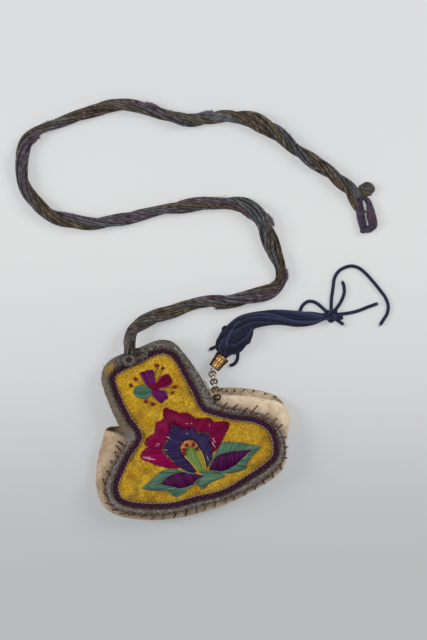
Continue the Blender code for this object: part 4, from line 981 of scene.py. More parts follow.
eye = {
    "rings": [(-0.9, 1.6), (0.0, 2.1), (-0.5, 2.6)], "ringTints": [0.2, 0.3, 0.44],  # in, height
    "ringThread": 0.62, "points": 60,
}
eyeStrands = [  # radius, tint of each, places: into the eye, across it, and down into the loop
    (0.66, [0.22, 0.16, 0.5, 0.3, 0.45, 0.2, 0.32], [
        [(143.6, 101.0, 3.4), (145.6, 101.6, 3.0), (148.0, 102.6, 2.6), (150.4, 104.2, 2.2)],
        [(144.4, 99.6, 3.4), (146.4, 99.6, 2.9), (148.6, 99.0, 2.5), (151.2, 97.8, 2.1)],
        [(144.8, 98.6, 3.0), (147.0, 98.6, 2.4), (149.4, 98.2, 2.0), (152.4, 97.6, 1.8)],
        [(143.4, 102.4, 2.8), (145.4, 103.0, 2.4), (148.0, 103.6, 2.2), (151.0, 104.9, 2.0)],
        [(148.2, 100.6, 2.2), (150.2, 101.2, 2.0), (152.2, 101.2, 2.0), (153.6, 101.6, 1.9)],
        [(142.2, 107.8, 4.6), (144.4, 103.8, 3.6), (146.9, 100.8, 2.8), (150.4, 98.3, 2.3)],
        [(143.2, 108.2, 4.0), (145.2, 104.4, 3.2), (147.5, 101.8, 2.5), (150.8, 99.0, 2.3)]]),
    (0.55, [0.58, 0.64, 0.55, 0.2], [
        [(148.6, 103.4, 2.5), (150.4, 102.8, 2.7), (152.2, 101.9, 2.7), (154.0, 101.2, 2.2)],
        [(148.6, 102.6, 2.3), (150.6, 101.7, 2.5), (152.6, 100.8, 2.5), (154.2, 100.2, 2.0)],
        [(149.2, 101.4, 2.1), (151.0, 100.4, 2.2), (152.8, 99.7, 2.1), (154.0, 99.4, 1.8)],
        [(149.0, 103.9, 2.1), (150.8, 103.7, 2.2), (152.6, 103.1, 2.2), (154.0, 102.2, 1.9)]]),
    (0.8, [0.3, 0.22, 0.4, 0.16], [
        [(141.5, 105.5, 3.4), (140.6, 101.5, 3.0), (140.4, 97.0, 2.4), (141.2, 91.5, 1.8)],
        [(142.6, 104.0, 4.2), (141.6, 100.4, 3.6), (141.2, 96.4, 3.0), (141.8, 92.5, 2.6)],
        [(143.6, 102.6, 4.4), (142.8, 99.6, 3.8), (142.4, 96.8, 3.6), (142.4, 94.0, 3.6)],
        [(140.4, 106.5, 2.6), (139.6, 102.6, 2.4), (139.7, 98.2, 2.0), (140.6, 93.0, 1.4)]]),
]
chenille = {
    "points": 120, "height": 2.0, "sides": 14, "flat": 0.72, "lump": 0.10, "pile": 4000,
    "pileLength": 0.7, "pileHair": 0.07,
    "knob": [(141.6, 80.4, 2.0), (139.8, 80.2, 2.0), (138.3, 80.9, 1.8)], "knobThick": 1.5,
    "thread": [(143.4, 90.6, 3.0), (145.2, 89.9, 3.3), (147.2, 89.3, 3.0)], "threadThick": 0.75,
}


def makeEye(e):
    # A small eye of thin strands
    curve = closedCurve(eyeRoute, e["points"])
    beside = inward(curve)
    rings = [np.column_stack([curve + beside * across, np.full(e["points"], level)])
             for across, level in e["rings"]]
    shape = joined(tubes(rings, e["ringThread"], closed=True, tint=e["ringTints"]),
                   *[tubes(openCurves(lines, 24), thick, tint=tints)
                     for thick, tints, lines in eyeStrands])
    return dress("cord_eye", shape, "strands", "twisted_cord")


def makeChenille(c):
    # A flat loop of chenille with a short pile, and a thread across its slot
    loop = closedCurve(chenilleRoute, c["points"])
    loop, width = loop[:, :2], loop[:, 2]
    centre = np.column_stack([loop, np.full(c["points"], c["height"])])
    body = tubes(centre[None], width, sides=c["sides"], flat=c["flat"], closed=True)
    lumps = 1 + c["lump"] * softNoise(body["points"], 0.9)
    ring = np.repeat(centre, c["sides"], axis=0)
    body["points"] = ring + (body["points"] - ring) * lumps[:, None]
    thick = c["knobThick"] * np.sin(np.linspace(0.9, 2.7, 12))
    knob = tubes(openCurve(c["knob"], 12)[None], thick, sides=10)
    thread = tubes(openCurve(c["thread"], 14)[None], c["threadThick"])
    pick = draw.integers(0, c["points"], c["pile"])
    turn = draw.uniform(0, 2 * math.pi, c["pile"])
    beside = np.column_stack([inward(loop), np.zeros(c["points"])])[pick]
    out = beside * np.cos(turn)[:, None] + np.array([0, 0, c["flat"]]) * np.sin(turn)[:, None]
    roots = centre[pick] + out * (width[pick, None] - 0.2)
    pile = hairs(roots, out, c["pileLength"], c["pileHair"], 0.5, 3)
    return dress("chenille_loop", joined(body, knob, thread, pile), "chenille", "chenille")


cordPiece, cordCentre, cordRadius = makeCarryingCord(cord)
cordFuzz = makeCordFuzz(fuzz, tufts, cordCentre, cordRadius)
hitchPiece = makeHitch(hitch)
eyePiece = makeEye(eye)
chenillePiece = makeChenille(chenille)
print("carrying cord:", round(runOf(cordCentre[:, :2])[-1]), "mm")


# Chain, cap and tassel, placed from the frame's own joints

joints = {j["child"]: (np.array(j["pos_m"]) / mm, np.array(j["axis"])) for j in frame["joints"]}
links = {
    "count": 7, "diameter": 4.4, "wire": 0.8, "dent": 0.012, "swell": 0.15, "flat": 1.15,
    "around": 40, "sides": 12,
}
wire = {"middle": (23.5, 33.2, 12.6), "long": 2.7, "wide": 1.1, "turn": 100.0, "thick": 0.24}
cap = {
    "heading": 29.6, "length": 8.5, "base": 3.2, "mouth": 4.0, "wall": 0.5, "bead": 0.2,
    "hole": 0.8, "flutes": 12, "depth": 0.09, "around": 120, "loop": 3.2, "loopWire": 0.6,
    "loopSwell": 0.12, "chain": 79.0,
}
tasselHank = [
    (-3.0, -1.7, 4.2, 4.2), (0.6, 0.4, 5.6, 5.6), (3.0, 3.2, 13.6, 8.0), (6.5, 5.8, 17.4, 9.4),
    (12.0, 8.9, 17.2, 9.6), (18.0, 11.8, 14.2, 8.6), (24.0, 12.4, 11.4, 7.4),
    (34.0, 9.8, 10.4, 6.6), (46.0, 4.0, 10.4, 6.2), (55.0, 0.8, 8.8, 5.6), (60.6, -1.0, 5.0, 4.4),
]
tasselTie = (65.5, -2.1, 4.6, 4.0, 2.8)
tasselEnds = {
    "tassel_end_long": [(67.0, 0.6), (69.6, 6.4), (73.0, 12.2), (75.8, 16.8), (79.4, 19.4),
                        (83.4, 20.1), (87.4, 19.4), (90.8, 16.7), (93.2, 12.4), (95.2, 6.8),
                        (97.0, 0.8), (98.3, -4.6), (98.0, -9.6), (95.7, -13.4), (92.5, -15.8),
                        (89.6, -17.8)],
    "tassel_end_curled": [(68.0, -1.0), (73.6, 2.6), (77.4, 6.5), (78.9, 10.2), (79.2, 13.2)],
    "tassel_end_straight": [(68.4, -2.7), (75.5, -4.7), (81.3, -5.6), (86.8, -5.7), (92.8, -6.0)],
    "tassel_end_arch": [(51.0, 7.6), (53.2, 9.4), (56.4, 10.3), (59.2, 9.2), (61.2, 7.0),
                        (62.4, 4.8)],
    "tassel_end_short": [(66.6, -3.6), (70.4, -9.6)],
    "tassel_stub_left": [(-1.2, 6.6), (-5.6, 6.3)],
    "tassel_stub_low": [(8.6, -1.6), (7.2, -4.4), (5.2, -6.2), (3.2, -6.7), (1.6, -6.3)],
}
tasselRoots = {  # a point further in, where the end comes out of the tassel
    "tassel_end_arch": (48.6, 5.2), "tassel_stub_left": (2.6, 6.4), "tassel_stub_low": (10.2, 2.4),
}
navy = {"cord": 2.0, "threads": 15, "turn": 120.0, "rootRise": 3.0}
head = {
    "middle": (11.6, 7.9, 4.8), "size": (9.8, 7.4, 4.0),
    "loops": [  # turn, lean, share of the size
        (0.3, 0.5, 1.0), (0.9, 1.1, 1.0), (1.5, 0.8, 0.94), (2.1, 1.2, 1.0), (2.7, 0.6, 0.9),
        (3.4, 1.0, 1.0), (4.2, 0.9, 0.94), (0.6, 0.4, 0.66), (1.9, 0.3, 0.5), (2.6, 0.7, 0.34),
        (0.2, 0.9, 0.5)],
    "core": (6, 60, 0.4, 0.5),  # first and last point, share of the width, flatness
}


def ringShape(pivot, along, across, size, wire, around, sides, dent=0.0, swell=0.0, flat=1.0):
    # A link whose near side lies on its pivot: a circle carried round a slightly uneven circle
    mean = (size - wire) / 2
    turn = circle(around)
    reach = mean * (1 + dent * np.cos(2 * turn + pivot[0]))
    path = (pivot + along * mean - along * (reach * np.cos(turn))[:, None]
            + across * (reach * np.sin(turn))[:, None])
    return tubes(path[None], wire / 2 + swell, sides=sides, flat=flat,
                 upright=np.cross(along, across), closed=True)


def makeChain(l):
    pivots = [joints[f"link_{number + 1}"][0] for number in range(l["count"])]
    for number, pivot in enumerate(pivots, 1):
        along = pivots[number] - pivot if number < l["count"] else pivot - pivots[-2]
        shape = ringShape(pivot, unit(along), joints[f"link_{number}"][1], l["diameter"],
                          l["wire"], l["around"], l["sides"], l["dent"], l["swell"], l["flat"])
        addPiece(f"chainRing{number}", shape, "brass", "brass", f"chain_link_{number}",
                 f"link_{number}")
    nodes["chain_anchor"].material_slots[0].material = paints["brass"]


def makeWireLoop(w):
    # A thin bent loop: an egg-shaped ellipse, turned and slightly twisted
    t = circle(40)
    c, s = math.cos(math.radians(w["turn"])), math.sin(math.radians(w["turn"]))
    x, y = w["long"] * np.cos(t), w["wide"] * np.sin(t) * (1 + 0.3 * np.cos(t))
    loop = np.column_stack([x * c - y * s, x * s + y * c, 0.35 * np.sin(t) - 0.45 * np.cos(t)])
    shape = tubes((loop + np.array(w["middle"]))[None], w["thick"], sides=8, closed=True)
    addPiece("wireLoop", shape, "brass", "brass")


def makeCap(c):
    # A flared tube: its profile turned round a level axis, the radius waved by the flutes
    pivot = joints["tassel"][0]
    chain, turn = math.radians(c["chain"]), math.radians(c["heading"])
    toward = np.array([math.cos(chain), math.sin(chain), 0.0])
    axis = np.array([math.cos(turn), math.sin(turn), 0.0])
    beside, up = np.array([-axis[1], axis[0], 0.0]), np.array([0.0, 0.0, 1.0])
    loop = ringShape(pivot, toward, up, c["loop"], c["loopWire"], 36, 10, swell=c["loopSwell"])
    dress("cap_loop", loop, "brass", "brass", body="tassel")
    middle = pivot + toward * (c["loop"] - c["loopWire"]) / 2 + axis * (c["loop"] / 2 + 0.3)
    base, mouth, bead, wall = c["base"], c["mouth"], c["bead"], c["wall"]
    rise = mouth - base
    profile = np.array([  # distance, radius, share of the fluting
        (0.0, c["hole"], 0), (0.0, base * 0.80, 0), (0.15, base * 0.92, 0.3),
        (0.5, base + bead, 0.6), (0.9, base + bead, 0.6), (1.3, base - 0.05, 0.8),
        (1.7, base + 0.05, 1), (3.0, base + 0.2 * rise, 1), (4.3, base + 0.4 * rise, 1),
        (4.5, base + 0.36 * rise, 0.5), (4.9, base + 0.4 * rise, 0.5),
        (5.1, base + 0.5 * rise, 1), (6.4, base + 0.72 * rise, 1),
        (6.9, mouth - bead - 0.05, 0.6), (7.2, mouth + bead, 0.4), (7.7, mouth + bead, 0.4),
        (8.2, mouth, 0.3), (c["length"], mouth - 0.15, 0.2), (c["length"], mouth - wall, 0),
        (wall, base - wall, 0), (wall, c["hole"], 0)])
    angle = circle(c["around"])
    facet = np.abs(np.cos(c["flutes"] * angle / 2)) ** 0.6 * 2 - 1.2
    reach = profile[:, 1, None] * (1 + c["depth"] * profile[:, 2, None] * facet)
    grid = (middle + axis * profile[:, 0, None, None] + beside * (reach * np.cos(angle))[..., None]
            + up * (reach * np.sin(angle))[..., None])
    # painted light: the cap is lighter along its top and darker on its sides, and fainter off the
    # flutes
    litTop = np.clip(2.2 * np.sin(angle - 0.1) - 1.2, 0, 1)
    litTop = litTop * (0.55 + 0.45 * (profile[:, 2] > 0.7))[:, None]
    shape = surface(grid, True, True, flip=True, tint=litTop)
    dress("tassel_cap", shape, "gold", "brass", body="tassel")
    return middle + axis * c["length"]


def makeHank(mouth, n, h):
    # Threads that fan out of the cap into a flat bundle, over loops knotted round its head
    radius = n["cord"] / 2
    path = openCurve(np.vstack([tasselHank, (65.0, -2.0, 3.6, 3.6)]), 96)
    level = np.maximum(path[:, 3] / 2, mouth[2] * (1 - smoothStep(path[:, 0], 0.0, 7.0)))
    centre = np.column_stack([mouth[:2] + path[:, :2], level])
    beside, up = levelFrame(centre[:, :2])
    run = runOf(centre)
    number = np.arange(n["threads"])[:, None]
    ring = np.sqrt((number + 0.5) / n["threads"])
    angle = number * 2.4 + 2 * math.pi * run / n["turn"]
    at = np.stack(np.broadcast_arrays(run / 18, number * 1.7, 0.3), -1)
    angle = angle + 0.5 * softNoise(at, 1.0)
    across = (path[:, 2] / 2 - radius) * ring * np.cos(angle)
    above = (path[:, 3] / 2 - radius) * ring * np.sin(angle)
    lines = tubes(centre + beside * across[..., None] + up * above[..., None], radius * 0.96,
                  sides=8)
    # the loops are leaning ellipses on the head's skin
    t = circle(64)
    loops = []
    for turn, lean, share in h["loops"]:
        first = np.array([math.cos(turn), math.sin(turn), 0.0])
        second = np.array([-math.sin(turn) * math.cos(lean), math.cos(turn) * math.cos(lean),
                           math.sin(lean)])
        loop = (np.outer(np.cos(t), first) + np.outer(np.sin(t), second)) * h["size"] * share
        loops.append(loop * (1 + 0.05 * np.sin(3 * t + turn))[:, None])
    loops = np.array(loops) + [mouth[0] + h["middle"][0], mouth[1] + h["middle"][1], h["middle"][2]]
    loops[..., 2] = np.maximum(loops[..., 2], radius)
    # a flat core inside the hank in the darkest navy: painted shade between the threads
    first, last, share, flat = h["core"]
    core = tubes(centre[first:last][None], share * path[first:last, 2], sides=20, flat=flat,
                 tint=0.1)
    hank = joined(lines, core, tubes(loops, radius, sides=8, closed=True))
    dress("tassel_hank", hank, "navy", "navy_cord", body="tassel")


def makeTie(mouth, n):
    # Two knotted loops and three short stubs
    thick = n["cord"] / 2 * 0.9
    x, y, wide, deep, tall = tasselTie
    x, y = mouth[0] + x, mouth[1] + y
    knots = [trefoil(60, (wide - 1.2, deep - 1.0, tall - 1.2), (x, y, tall), turn)
             for turn in (0.4, 1.7)]
    stubs = openCurves([
        [(x + 0.5, y - 1.5, 2.8), (x + 3.0, y - 3.2, 1.8), (x + 6.0, y - 3.9, 1.1)],
        [(x + 0.0, y - 1.0, 3.2), (x + 3.4, y - 1.6, 2.2), (x + 6.4, y - 2.5, 1.2)],
        [(x - 4.0, y + 0.8, 2.4), (x, y + 0.2, 3.6), (x + 4.2, y + 1.0, 2.2)]], 12)
    tie = joined(tubes(knots, thick, sides=8, closed=True), tubes(stubs, thick, sides=8))
    dress("tassel_tie", tie, "navy", "navy_cord", body="tassel")


def makeEnds(mouth, n):
    # Loose ends of the tassel on the table, each with a frayed tip
    radius = n["cord"] / 2
    for node, points in tasselEnds.items():
        if node in tasselRoots:
            points = [tasselRoots[node], *points]
        if node == "tassel_end_arch":
            points = [*points, (64.2, 1.0)]
        flat = mouth[:2] + np.array(points)
        steps = max(10, round(runOf(flat)[-1] / 0.9))
        line = openCurve(flat, steps)
        # a stub comes down from inside the head
        rise = n["rootRise"] if "stub" in node else 0.0
        level = radius + rise * (1 - smoothStep(runOf(line), 1.0, 6.0))
        line = np.column_stack([line, level])
        thick = radius * np.where(np.arange(steps) < steps - 1, 1.0, 0.85)
        shape = tubes(line[None], thick, sides=10, tint=0.4)
        tips = np.repeat(line[-1:], 18, axis=0) + draw.normal(0, 0.4, (18, 3))
        out = np.repeat(unit(line[-1:] - line[-2:-1]), 18, axis=0)
        fray = hairs(tips, out, 0.9, 0.08, 0.5)
        if node != "tassel_end_long":
            dress(node, joined(shape, fray), "navy", "navy_cord", body="tassel")
            continue
        end = dress(node, shape, "navy", "navy_cord", body="tassel")
        tip = addPiece(nameOf(node) + "Fray", fray, "navy", "navy_cord", body="tassel")


makeChain(links)
makeWireLoop(wire)
capMouth = makeCap(cap)
makeHank(capMouth, navy, head)
makeTie(capMouth, navy)
makeEnds(capMouth, navy)
print("chain, cap and tassel")


# Leather bag

bag = {
    "columns": 480, "backFrom": 0.08, "backRings": 14, "rimRings": 8, "frontRings": 54,
    "crowd": 1.15, "notch": 8.0, "notchFrom": (104, 128), "notchTo": (138.6, 140.6),  # degrees
    "puckerEvery": 6.0, "pucker": 0.3, "puckerReach": 4.0, "lump": 0.4, "smallLump": 0.12,
    "merge": 0.01,
}


def makeBag(b):
    # Rings from the back's middle out to its rim, then from the front's rim in to its middle
    columns = b["columns"]
    outline = resample(looped(bagCurve), columns)
    angle, reach = polar(outline[:, 0], outline[:, 1])
    share = mouthShare(angle)
    ray = np.column_stack([np.cos(angle), np.sin(angle)])
    middle = np.array(bagShape["middle"])
    depth, bend = bagShape["sideDepth"], 2 / bagShape["fullness"]

    def ring(distance, height):
        flat = middle + ray * distance[:, None]
        return np.column_stack([flat, np.broadcast_to(height, columns)])

    backRim = bagShape["side"] * (1 - share) + bagShape["mouthBack"] * share
    back = [ring((reach - depth) * part, 0.0)
            for part in np.linspace(b["backFrom"], 1.0, b["backRings"])]
    back += [ring(reach - depth * (1 - math.sin(turn)), backRim * (1 - math.cos(turn)))
             for turn in np.linspace(0, math.pi / 2, b["rimRings"])[1:]]
    back = np.stack(back)
    degrees = np.degrees(angle)
    notch = smoothStep(degrees, *b["notchFrom"]) * (1 - smoothStep(degrees, *b["notchTo"]))
    frontReach = reach - bagShape["setback"] * share - b["notch"] * notch
    edge = edgeHeight(angle)
    rise = bagShape["height"] - edge
    turns = np.linspace(0, 1, b["frontRings"])[:-1] ** b["crowd"] * math.pi / 2
    front = np.stack([ring(frontReach * math.cos(turn) ** bend,
                           edge + rise * math.sin(turn) ** bend)
                      for turn in turns])
    # gathers fan out from the stitches, over soft lumps
    solid = front.reshape(-1, 3)
    number = np.repeat(np.arange(len(front)), columns)
    gap, nearest = gapTo(panelFine, solid[:, :2])
    along = runOf(looped(panelFine))[nearest]
    away = np.maximum(-gap, 0)
    phase = 2 * math.pi * along / b["puckerEvery"] + 1.4 * flatNoise(solid[:, :2], 9.0)
    gather = b["pucker"] * np.cos(phase) * np.exp(-away / b["puckerReach"]) * (gap < 0)
    lumps = b["lump"] * softNoise(solid, 8.0) + b["smallLump"] * softNoise(solid, 2.6, 3.0)
    fade = np.where(gap > -1.5, 0.25, 1.0) * smoothStep(number, 0, 4)
    move = (gather * smoothStep(number, 0, 3) + lumps * fade).reshape(front.shape[:2])
    down = np.gradient(front, axis=0)
    across = np.roll(front, -1, axis=1) - np.roll(front, 1, axis=1)
    normal = -unit(np.cross(down, across))
    normal = normal * np.sign(normal[..., 2:] + 0.2)
    front = front + normal * move[..., None]
    # painted shade and soil by the stitches and along the front's mouth edge, and painted shade on
    # the back wall inside the mouth
    mouth = np.tile(share, len(front)) * np.exp(-np.abs(number - 1.0) / 2.0)
    frontShadeAndSoil = np.clip(1.1 * np.exp(-away / 2.2) + 0.9 * mouth, 0, 1)
    left = np.repeat(np.arange(len(back))[::-1], columns)
    backShadeAndSoil = np.tile(share, len(back)) * np.exp(-left / 2.0)
    shape = joined(surface(back, aroundColumns=True, flip=True),
                   surface(front, aroundColumns=True, flip=True))
    first = np.arange(columns)
    last = first + (len(back) + len(front) - 1) * columns
    shape = capped(shape, first, [(*middle, 0.0)], flip=True)
    shape = capped(shape, last, [(*middle, bagShape["height"])])
    piece = dress("leather_bag", shape, "leather", "cream_leather", merge=b["merge"],
                  soil=np.concatenate([backShadeAndSoil, frontShadeAndSoil, [0.0, 0.0]]))
    wall = piece.modifiers.new("wall", "SOLIDIFY")
    wall.thickness = bagShape["leather"] * mm
    wall.offset = -1.0
    wall.thickness_clamp = 1.2
    return piece


bagPiece = makeBag(bag)
print("leather bag")


# Felt panel, lining, binding, braid and couched cords

panel = {
    "middle": (-2.0, 8.0), "rings": 58, "nap": 0.09, "swell": 0.16, "crease": 0.85,
    "creaseBow": 0.1, "hairs": 4000, "hairLength": 0.55, "hair": 0.04,
}
lining = {"inset": 0.3, "rings": 30}
creases = [  # soft folds in the felt: from, to, width
    ((-41.5, 5.0), (-43.0, -8.0), 1.8), ((-36.0, 7.0), (-39.0, -6.0), 1.6),
    ((-33.5, 9.0), (-30.0, 1.0), 1.7), ((-27.0, -2.0), (-33.0, -12.0), 1.6),
    ((-21.0, 26.0), (-12.0, 30.0), 2.2), ((-24.0, -16.5), (-14.0, -20.0), 1.8),
    ((12.0, 28.0), (3.0, 33.0), 2.4), ((34.0, -17.0), (43.0, -12.0), 2.0),
]
binding = {
    "wall": 0.9, "slot": 1.4, "lip": 0.7, "lump": 0.22, "around": 17, "fold": 0.9, "inner": 0.42,
    "hairs": 2400, "hairLength": 1.3, "hair": 0.045,
}


def discShape(outline, rings, middle, top, bottom):
    # Rings from the middle of the top out to the outline and back in underneath
    share = np.concatenate([np.linspace(0.03, 1, rings), [1.004], np.linspace(1, 0.03, rings)])
    upper = np.arange(len(share)) < rings
    flat = np.array(middle) + (outline - np.array(middle))[None] * share[:, None, None]
    x, y = flat[..., 0], flat[..., 1]
    highs, lows = top(x, y), bottom(x, y)
    z = np.where(upper[:, None], highs, lows)
    z[rings] = (highs[rings] + lows[rings]) / 2
    shape = surface(np.dstack([x, y, z]), aroundColumns=True)
    ring = np.arange(len(outline))
    shape = capped(shape, ring, [(*middle, float(top(*middle)))])
    last = (len(share) - 1) * len(outline) + ring
    return capped(shape, last, [(*middle, float(bottom(*middle)))], flip=True)


def creaseLift(x, y):
    # Each fold is a bowed ridge, exp(-(distance / width)^2), with a shallow dip along its sides
    at = np.stack([x, y], axis=-1)
    total = np.zeros(np.shape(x))
    for start, end, width in creases:
        start, span = np.array(start), np.array(end) - start
        share = np.clip((at - start) @ span / (span @ span), 0, 1)
        bow = np.sin(math.pi * share)[..., None] * [span[1], -span[0]]
        gap = at - start - share[..., None] * span - panel["creaseBow"] * bow
        gap = np.linalg.norm(gap, axis=-1)
        total += np.exp(-(gap / width) ** 2) - 0.6 * np.exp(-((gap - 2.2 * width) / width) ** 2)
    return panel["crease"] * total


def feltSurface(x, y):
    x, y = np.asarray(x, float), np.asarray(y, float)
    at = np.stack([x, y, 0 * x], axis=-1)
    lumps = panel["nap"] * softNoise(at, 0.9) + panel["swell"] * softNoise(at, 5.0, 2.0)
    return feltTop(x, y) + creaseLift(x, y) + lumps


def makeFelt(p):
    half = feltShape["thickness"] / 2
    outline = feltFine[::2]
    shape = discShape(outline, p["rings"], p["middle"], feltSurface,
                      lambda x, y: panelMiddle(x, y) - half)
    points = shape["points"]
    # painted shade beside the braid and in the dips beside the folds, and soil in broad patches
    gap, _ = gapTo(braidFine, points[:, :2])
    soil = np.exp(-np.abs(gap - 2.0) / 2.5) * (0.55 + 0.45 * softNoise(points, 4.0))
    fold = creaseLift(points[:, 0], points[:, 1]) / p["crease"]
    soil = soil + 0.9 * np.clip(-fold, 0, 1)
    soil = soil + 0.4 * np.clip(softNoise(points, 11.0, 6.0) - 0.35, 0, 1)
    felt = dress("felt_panel", shape, "felt", "yellow_felt", soil=np.clip(soil, 0, 1))
    pick = draw.integers(0, len(outline) * p["rings"], p["hairs"])
    out = unit(np.array([0.0, 0.0, 1.0]) + draw.normal(0, 0.5, (p["hairs"], 3)))
    nap = hairs(points[pick], out, p["hairLength"], p["hair"], 1.4, 3)
    addPiece("feltNap", nap, "felt", "yellow_felt")


def makeLining(l):
    outline = shifted(bindingInner, l["inset"])
    top = feltShape["thickness"] / 2 + feltShape["liningGap"]
    foot = top + feltShape["lining"]
    shape = discShape(fine(outline, 3), l["rings"], panel["middle"],
                      lambda x, y: panelMiddle(x, y) - top, lambda x, y: panelMiddle(x, y) - foot)
    cloth = dress("panel_lining", shape, "lining", "lining_cloth")


def makeBinding(b):
    # A strip folded round the felt's edge: half an ellipse outside, a slot for the felt inside
    across = panelFine - innerFine
    slot = 1 - b["wall"] / np.linalg.norm(across, axis=1)
    lip, around = b["slot"] + b["lip"], b["around"]
    turns = np.linspace(math.pi / 2 + b["fold"], -math.pi / 2 - b["fold"], around)
    section = [(b["inner"] + (1 - b["inner"]) * math.cos(turn), lip * math.sin(turn))
               for turn in turns]
    section += [(0.0, -b["slot"]), (slot, -b["slot"]), (slot, b["slot"]), (0.0, b["slot"])]
    rows = []
    for share, rise in section:
        flat = innerFine + across * np.broadcast_to(share, len(across))[:, None]
        rows.append(np.column_stack([flat, panelMiddle(flat[:, 0], flat[:, 1]) + rise]))
    grid = np.stack(rows, axis=1)
    outer = grid[:, :around]
    centre = (grid[:, around, None] + grid[:, around + 3, None]) / 2
    out = unit(outer - centre)
    base = 1 - smoothStep(grid[..., 1], 20.0, 27.0)
    size = b["lump"] * (0.7 + 1.0 * base[:, :around])
    lump = size * (softNoise(outer, 2.2) + 0.6 * softNoise(outer, 0.9, 4.0))
    grid[:, :around] = outer + out * lump[..., None]
    shape = surface(grid, True, True, flip=True)
    dress("panel_binding", shape, "binding", "grey_binding", base=base)
    pick = draw.integers(0, len(grid), b["hairs"])
    spot = draw.integers(1, around - 2, b["hairs"])
    loose = hairs(grid[pick, spot], out[pick, spot], b["hairLength"], b["hair"], 1.2)
    addPiece("bindingFuzz", loose, "fuzz", "grey_binding")


edgeCord = {
    "first": 1, "last": 53, "points": 900, "inset": 1.0, "rise": 1.5, "turn": 3.3, "reach": 0.36,
    "ply": 0.42,
}
braid = {
    "plait": 5.0, "strands": 3, "sway": 0.82, "dip": 0.34, "strand": 0.54, "flat": 0.75,
    "lift": 0.42, "steps": 12,
}
couched = {
    "ply": 0.22, "reach": 0.16, "turn": 2.3, "steps": 8, "lift": 0.3, "sink": 0.55,
    "tieEvery": 3.4, "tie": 0.13, "tieReach": 0.62,
}


def evenRound(curve, spacing):
    # Even points round a closed curve, each one's share of the way round, and the whole length
    closed = looped(curve)
    line = resample(closed, int(round(runOf(closed)[-1] / spacing)))
    run = runOf(looped(line))
    return line, run[:-1] / run[-1], run[-1]


def wound(line, beside, level, turns, reaches, rise):
    # Strands side by side: each lies reach * sin a beside the line and rise(a) above its level
    paths = []
    for strand, reach in enumerate(reaches):
        a = 2 * math.pi * (turns + strand / len(reaches))
        flat = line + beside * (reach * np.sin(a))[:, None]
        paths.append(np.column_stack([flat, level + rise(a)]))
    return paths


def makeEdgeCord(c):
    # Two plies over the binding's outer edge, from waist to waist round the base
    path = shifted(panelCurve, c["inset"])[c["first"]:c["last"]]
    line = openCurve(path, c["points"])
    run = runOf(line)
    level = panelMiddle(line[:, 0], line[:, 1]) + c["rise"] + 0.25 * flatNoise(line, 5.0)
    beside = unit(np.column_stack([-np.gradient(line[:, 1]), np.gradient(line[:, 0])]))
    reaches = [c["reach"] * (1 + 0.4 * noiseAlong(run, 7, ply)) for ply in range(2)]
    paths = wound(line, beside, level, run / c["turn"], reaches, lambda a: c["reach"] * np.cos(a))
    addPiece("edgeCord", tubes(paths, c["ply"], sides=6, tint=[0.95, 0.35]), "edge", "grey_binding")


def makeBraid(b):
    # A flat plait: each strand sways by sin a and dips by sin 2a, an even share of a turn apart
    line, share, total = evenRound(braidFine, b["plait"] / b["steps"])
    level = feltTop(line[:, 0], line[:, 1]) + trims["gap"] + b["lift"]
    paths = wound(line, inward(line), level, share * round(total / b["plait"]),
                  [b["sway"]] * b["strands"], lambda a: b["dip"] * np.sin(2 * a))
    shape = tubes(paths, b["strand"], flat=b["flat"], closed=True)
    dress("purple_braid", shape, "braid", "purple_braid")


def makeCouched(node, offset, paint, c):
    # Two plies wound round each other, tied down by small stitches
    curve = fine(shifted(braidCurve, offset))
    line, share, total = evenRound(curve, c["turn"] / c["steps"])
    sunk = c["sink"] * np.clip(1.6 * flatNoise(line, 4.0, offset), 0, 1)
    level = feltTop(line[:, 0], line[:, 1]) + trims["gap"] + c["lift"] - sunk
    beside = inward(line)
    paths = wound(line, beside, level, share * round(total / c["turn"]), [c["reach"]] * 2,
                  lambda a: c["reach"] * np.cos(a))
    knots = np.arange(0, len(line) - 2, int(c["tieEvery"] * c["steps"] / c["turn"]))
    slant = unit(beside[knots] + 0.5 * unit(line[knots + 1] - line[knots]))
    t = np.linspace(-1, 1, 7)
    flat = line[knots, None] + slant[:, None] * (c["tieReach"] * t)[:, None]
    high = level[knots, None] - 0.35 + 0.75 * np.cos(1.2 * t)
    ties = tubes(np.dstack([flat, high]), c["tie"], sides=5)
    plies = tubes(paths, c["ply"], sides=6, closed=True, tint=[1.0, 0.1])
    dress(node, joined(plies, ties), paint, "pale_cord")


makeFelt(panel)
makeLining(lining)
makeBinding(binding)
makeEdgeCord(edgeCord)
makeBraid(braid)
makeCouched("inner_couched_cord", couchedOffset, "couched", couched)
# the outer cord takes the darker copy of the pale cord: painted shade
makeCouched("outer_couched_cord", -couchedOffset, "couchedDark", couched)
print("panel and trims")


# Embroidery: every field is laid stitch by stitch between its two sides

outerPetals = [
    ([(-8.4, -2.7), (-11.2, 2.7), (-13.5, 9.2)],
     [(-9.1, -3.1), (-14.7, -0.4), (-24.6, 8.0), (-25.1, 11.3), (-20.5, 13.8)]),
    ([(-13.3, 9.8), (-11.2, 12.1), (-8.3, 13.9)],
     [(-20.3, 14.5), (-20.3, 17.3), (-17.6, 19.1), (-13.3, 19.4)]),
    ([(-8.0, 14.4), (-6.7, 16.1), (-5.3, 18.2)],
     [(-12.9, 20.1), (-11.6, 23.1), (-9.6, 24.4), (-5.7, 24.7)]),
    ([(-5.0, 18.6), (-3.1, 20.1), (-0.9, 20.8)],
     [(-5.2, 25.4), (-4.1, 29.4), (-2.5, 30.6), (0.2, 27.8)]),
    ([(-0.5, 20.6), (3.0, 15.9), (7.4, 14.9)],
     [(0.6, 27.6), (3.8, 24.9), (7.2, 23.3), (10.9, 18.8)]),
    ([(7.7, 14.8), (9.0, 11.5), (12.6, 9.9)],
     [(11.3, 18.1), (15.7, 16.9), (19.1, 14.9), (19.5, 12.9)]),
    ([(13.0, 9.8), (15.5, 7.6), (14.0, 3.7), (12.9, -2.7)],
     [(19.9, 12.5), (24.1, 11.2), (27.5, 8.9), (24.2, 5.0), (16.0, -1.7)]),
]
